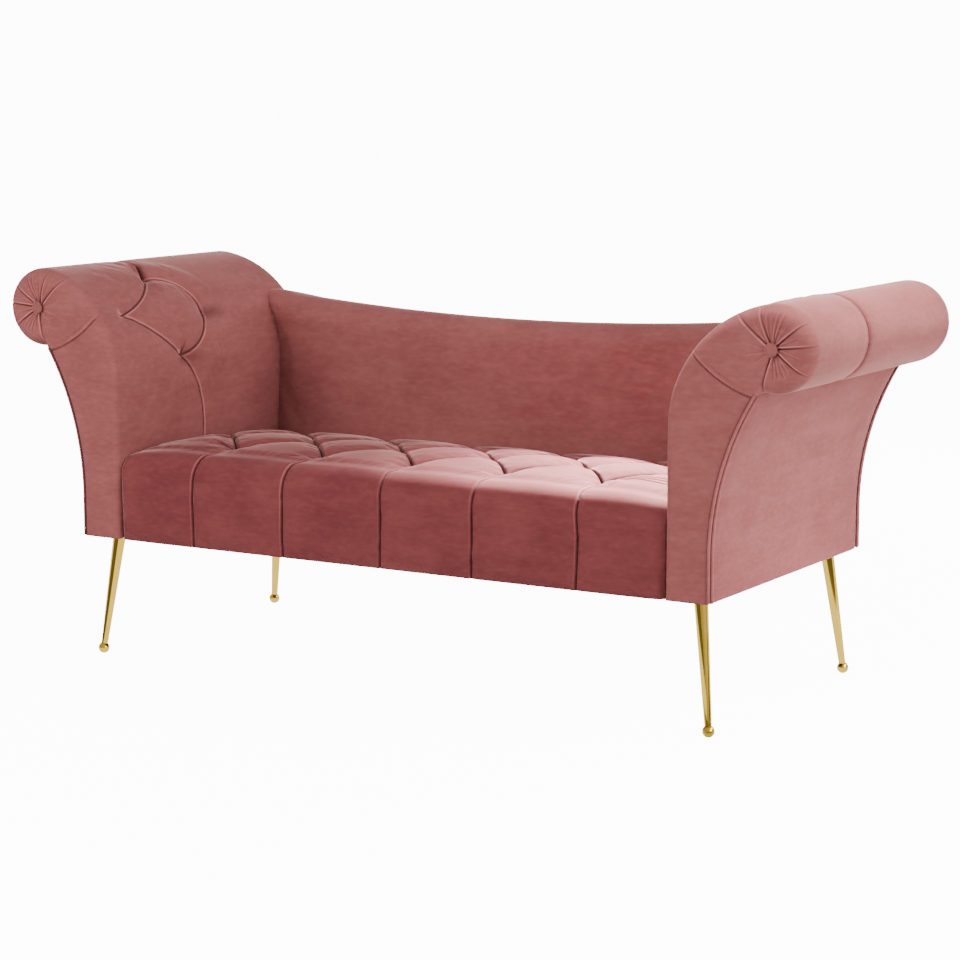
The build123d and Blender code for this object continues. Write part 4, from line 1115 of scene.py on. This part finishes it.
def make_lining(name, node, plates=()):
    low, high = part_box(node)
    width, length = high.x - low.x, high.y - low.y
    cuts = [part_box(p) for p in plates]
    cut_x = [v for a, b in cuts for v in (a.x - plate_room, b.x + plate_room)]
    cut_y = [v for a, b in cuts for v in (a.y - plate_room, b.y + plate_room)]
    xs = np.unique(np.round(np.concatenate([spaced(low.x, high.x, lining_cell), cut_x]), 6))
    ys = np.unique(np.round(np.concatenate([spaced(low.y, high.y, lining_cell), cut_y]), 6))
    piece, column, row = cloth_grid(name, len(xs), len(ys))
    x, y = xs[column], ys[row]
    bulge = np.sin(pi * (x - low.x) / width) * np.sin(pi * (y - low.y) / length)
    place_corners(piece, np.column_stack([x, y, high.z - lining_sag * np.maximum(bulge, 0) ** 0.5]))
    shape = bmesh.new()
    shape.from_mesh(piece.data)
    inside = [f for f in shape.faces for a, b in cuts
              if a.x < f.calc_center_median().x < b.x and a.y < f.calc_center_median().y < b.y]
    bmesh.ops.delete(shape, geom=inside, context="FACES")
    shape.to_mesh(piece.data)
    shape.free()
    shell(piece, lining_thick)
    piece.data.materials.append(lining)
    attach(piece, "root")
    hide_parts(node)


make_lining("seat_lining", "dust_cover")
for word in sides:
    make_lining(word + "_arm_lining", word + "_arm_dust_cover",
                [f"{end}_{word}_leg_plate" for end in ("front", "rear")])


# Studio
# Pale paper sweep, a floor that turns up into a backdrop far behind the piece; paper and room look white.
# Soft boxes stand on the right, in front, on the left and behind, and three more light one cover each: seat,
# right arm and left arm. The paper glows only where the plating mirrors it, and black flags painted into that
# glow make the plating's dark streaks.

view_way = Vector((-0.50719, 0.84840, -0.15163))
white_glow = 12.0
sweep_depth = 9.0
sweep_half = 14.0
sweep_wall = 5.0
cove_radius = 3.0
cove_y = sweep_depth - cove_radius
sweep_shape = bmesh.new()
bmesh.ops.create_grid(sweep_shape, x_segments=1, y_segments=1, size=sweep_half)
bmesh.ops.translate(sweep_shape, verts=sweep_shape.verts, vec=(0, cove_y - sweep_half, 0))
far_edge = [e for e in sweep_shape.edges if all(v.co.y > cove_y - 0.01 for v in e.verts)]
bmesh.ops.spin(sweep_shape, geom=far_edge + list(far_edge[0].verts), cent=(0, cove_y, cove_radius),
               axis=(1, 0, 0), angle=pi / 2, steps=24)
top_edge = [e for e in sweep_shape.edges if all(v.co.z > cove_radius - 0.01 for v in e.verts)]
raised = bmesh.ops.extrude_edge_only(sweep_shape, edges=top_edge)["geom"]
raised_verts = [g for g in raised if isinstance(g, bmesh.types.BMVert)]
bmesh.ops.translate(sweep_shape, verts=raised_verts, vec=(0, 0, sweep_wall))
bmesh.ops.rotate(sweep_shape, verts=sweep_shape.verts, cent=(0, 0, 0),
                 matrix=Matrix.Rotation(atan2(-view_way.x, view_way.y), 3, "Z"))
bmesh.ops.recalc_face_normals(sweep_shape, faces=sweep_shape.faces)
sweep = object_from(sweep_shape, "paper_sweep")
smooth(sweep.data)

paper, paper_tree, paper_shader = new_material("pale_paper")
paper_shader.inputs["Roughness"].default_value = 0.95
paper_shader.inputs["Specular IOR Level"].default_value = 0.0
paper_shader.inputs["Emission Color"].default_value = (1, 1, 1, 1)
seen = add_node(paper_tree, "LightPath")
paper_place = add_node(paper_tree, "TexCoord")


def combined(operation, first, second):
    return add_node(paper_tree, "Math", feeds={0: first, 1: second}, operation=operation).outputs["Value"]


def floor_along(way):
    # distance of a floor point along a direction
    along = add_node(paper_tree, "VectorMath", {1: way}, {0: paper_place.outputs["Object"]},
                     operation="DOT_PRODUCT")
    return along.outputs["Value"]


def flag(right_edge, back_edge):
    # 0 in a painted flag's corner of the paper's mirrored glow and 1 outside; each edge runs from dark to
    # bright
    return combined("MAXIMUM", range_between(paper_tree, to_right, 0, 1, *right_edge),
                    range_between(paper_tree, to_back, 0, 1, *back_edge))


to_right = floor_along((0.858, 0.513, 0))
to_back = floor_along((-0.513, 0.858, 0))
unflagged = combined("MULTIPLY", flag((0.16, 0.04), (-0.66, -0.54)), flag((-0.87, -0.81), (0.2, 0.3)))
# painted reflection: in the plating the paper glows white, dark under the painted flags, and its own colour
# turns nearly black
in_plating = combined("MULTIPLY", range_between(paper_tree, unflagged, 0.0, 1.4),
                      seen.outputs["Is Glossy Ray"])
in_picture = range_between(paper_tree, seen.outputs["Is Camera Ray"], 0.1, white_glow)
paper_tree.links.new(combined("ADD", in_picture, in_plating), paper_shader.inputs["Emission Strength"])
paper_colour = ramp_between(paper_tree, seen.outputs["Is Glossy Ray"], (0.6, 0.6, 0.6), (0.03, 0.03, 0.03),
                            0.0, 1.0)
paper_tree.links.new(paper_colour, paper_shader.inputs["Base Color"])
sweep.data.materials.append(paper)

room = bpy.data.worlds.new("studio_room")
room.use_nodes = True
room_tree = room.node_tree
room_light = room_tree.nodes["Background"]
toward = add_node(room_tree, "TexCoord")
walls = add_node(room_tree, "VectorMath", {1: (0.80, 0.45, 0.40)}, {0: toward.outputs["Generated"]},
                 operation="DOT_PRODUCT")
wall_share = range_between(room_tree, walls.outputs["Value"], 0.5, 1.0)
room_tree.links.new(ramp_between(room_tree, wall_share, (0.22, 0.22, 0.22), (0.85, 0.85, 0.85), 0.2, 0.8),
                    room_light.inputs["Color"])
room_seen = add_node(room_tree, "Background", {"Color": (1, 1, 1, 1), "Strength": white_glow})
to_camera = add_node(room_tree, "LightPath")
room_look = add_node(room_tree, "MixShader", feeds={"Fac": to_camera.outputs["Is Camera Ray"],
                                                    1: room_light.outputs["Background"],
                                                    2: room_seen.outputs["Background"]})
room_tree.links.new(room_look.outputs["Shader"], room_tree.nodes["World Output"].inputs["Surface"])
bpy.context.scene.world = room


def soft_box(name, place, target, size, power, spread=180, mirrored=True, only=None):
    # only names the one piece that the lamp lights; mirrored lamps show in the plating
    light = bpy.data.lights.new(name, "AREA")
    light.shape = "RECTANGLE"
    light.size, light.size_y = size
    light.energy = power
    light.spread = radians(spread)
    lamp = bpy.data.objects.new(name, light)
    lamp.location = place
    lamp.rotation_mode = "QUATERNION"
    lamp.rotation_quaternion = (Vector(target) - Vector(place)).to_track_quat("-Z", "Y")
    lamp.visible_camera = False
    lamp.visible_glossy = mirrored
    if only:
        lamp.light_linking.receiver_collection = bpy.data.collections.new(name + "_lights")
        lamp.light_linking.receiver_collection.objects.link(bpy.data.objects[only])
    bpy.context.scene.collection.objects.link(lamp)


soft_box("key_box", (3.8, -0.9, 1.6), (0.2, 0, 0.45), (1.5, 1.3), 76)
soft_box("side_card", (2.4, 0.7, 1.9), (0.7, 0, 0.3), (1.2, 0.8), 46)
soft_box("rim_box", (0.54, 1.2, 1.9), (0.46, -0.11, 0.42), (0.4, 0.4), 33, spread=28, only="seat_velvet")
soft_box("rear_box", (0.9, 3.2, 1.5), (0.05, 0.3, 0.45), (2.4, 1.4), 62, mirrored=False)
soft_box("roll_box", (0.95, -0.05, 2.2), (0.76, -0.02, 0.74), (0.5, 0.5), 11, spread=60,
         only="right_arm_velvet")
soft_box("fill_box", (-2.0, -4.2, 2.3), (-0.1, 0, 0.5), (2.2, 2.0), 246, mirrored=False)
soft_box("front_box", (2.2, -4.6, 1.5), (-0.3, 0.2, 0.5), (1.4, 1.4), 52, mirrored=False)
soft_box("inner_box", (3.0, -1.7, 0.75), (-0.6, 0.05, 0.45), (1.0, 0.8), 34, mirrored=False,
         only="left_arm_velvet")
soft_box("floor_card", (1.25, 0.02, 0.05), (0.8, 0.0, 0.2), (0.6, 0.15), 7.0, mirrored=False)

lens = bpy.data.cameras.new("camera")
lens.lens = 100.24
camera = bpy.data.objects.new("camera", lens)
camera.location = (2.6204, -4.3345, 1.1346)
camera.rotation_mode = "QUATERNION"
camera.rotation_quaternion = view_way.to_track_quat("-Z", "Y")
bpy.context.scene.collection.objects.link(camera)
bpy.context.scene.camera = camera
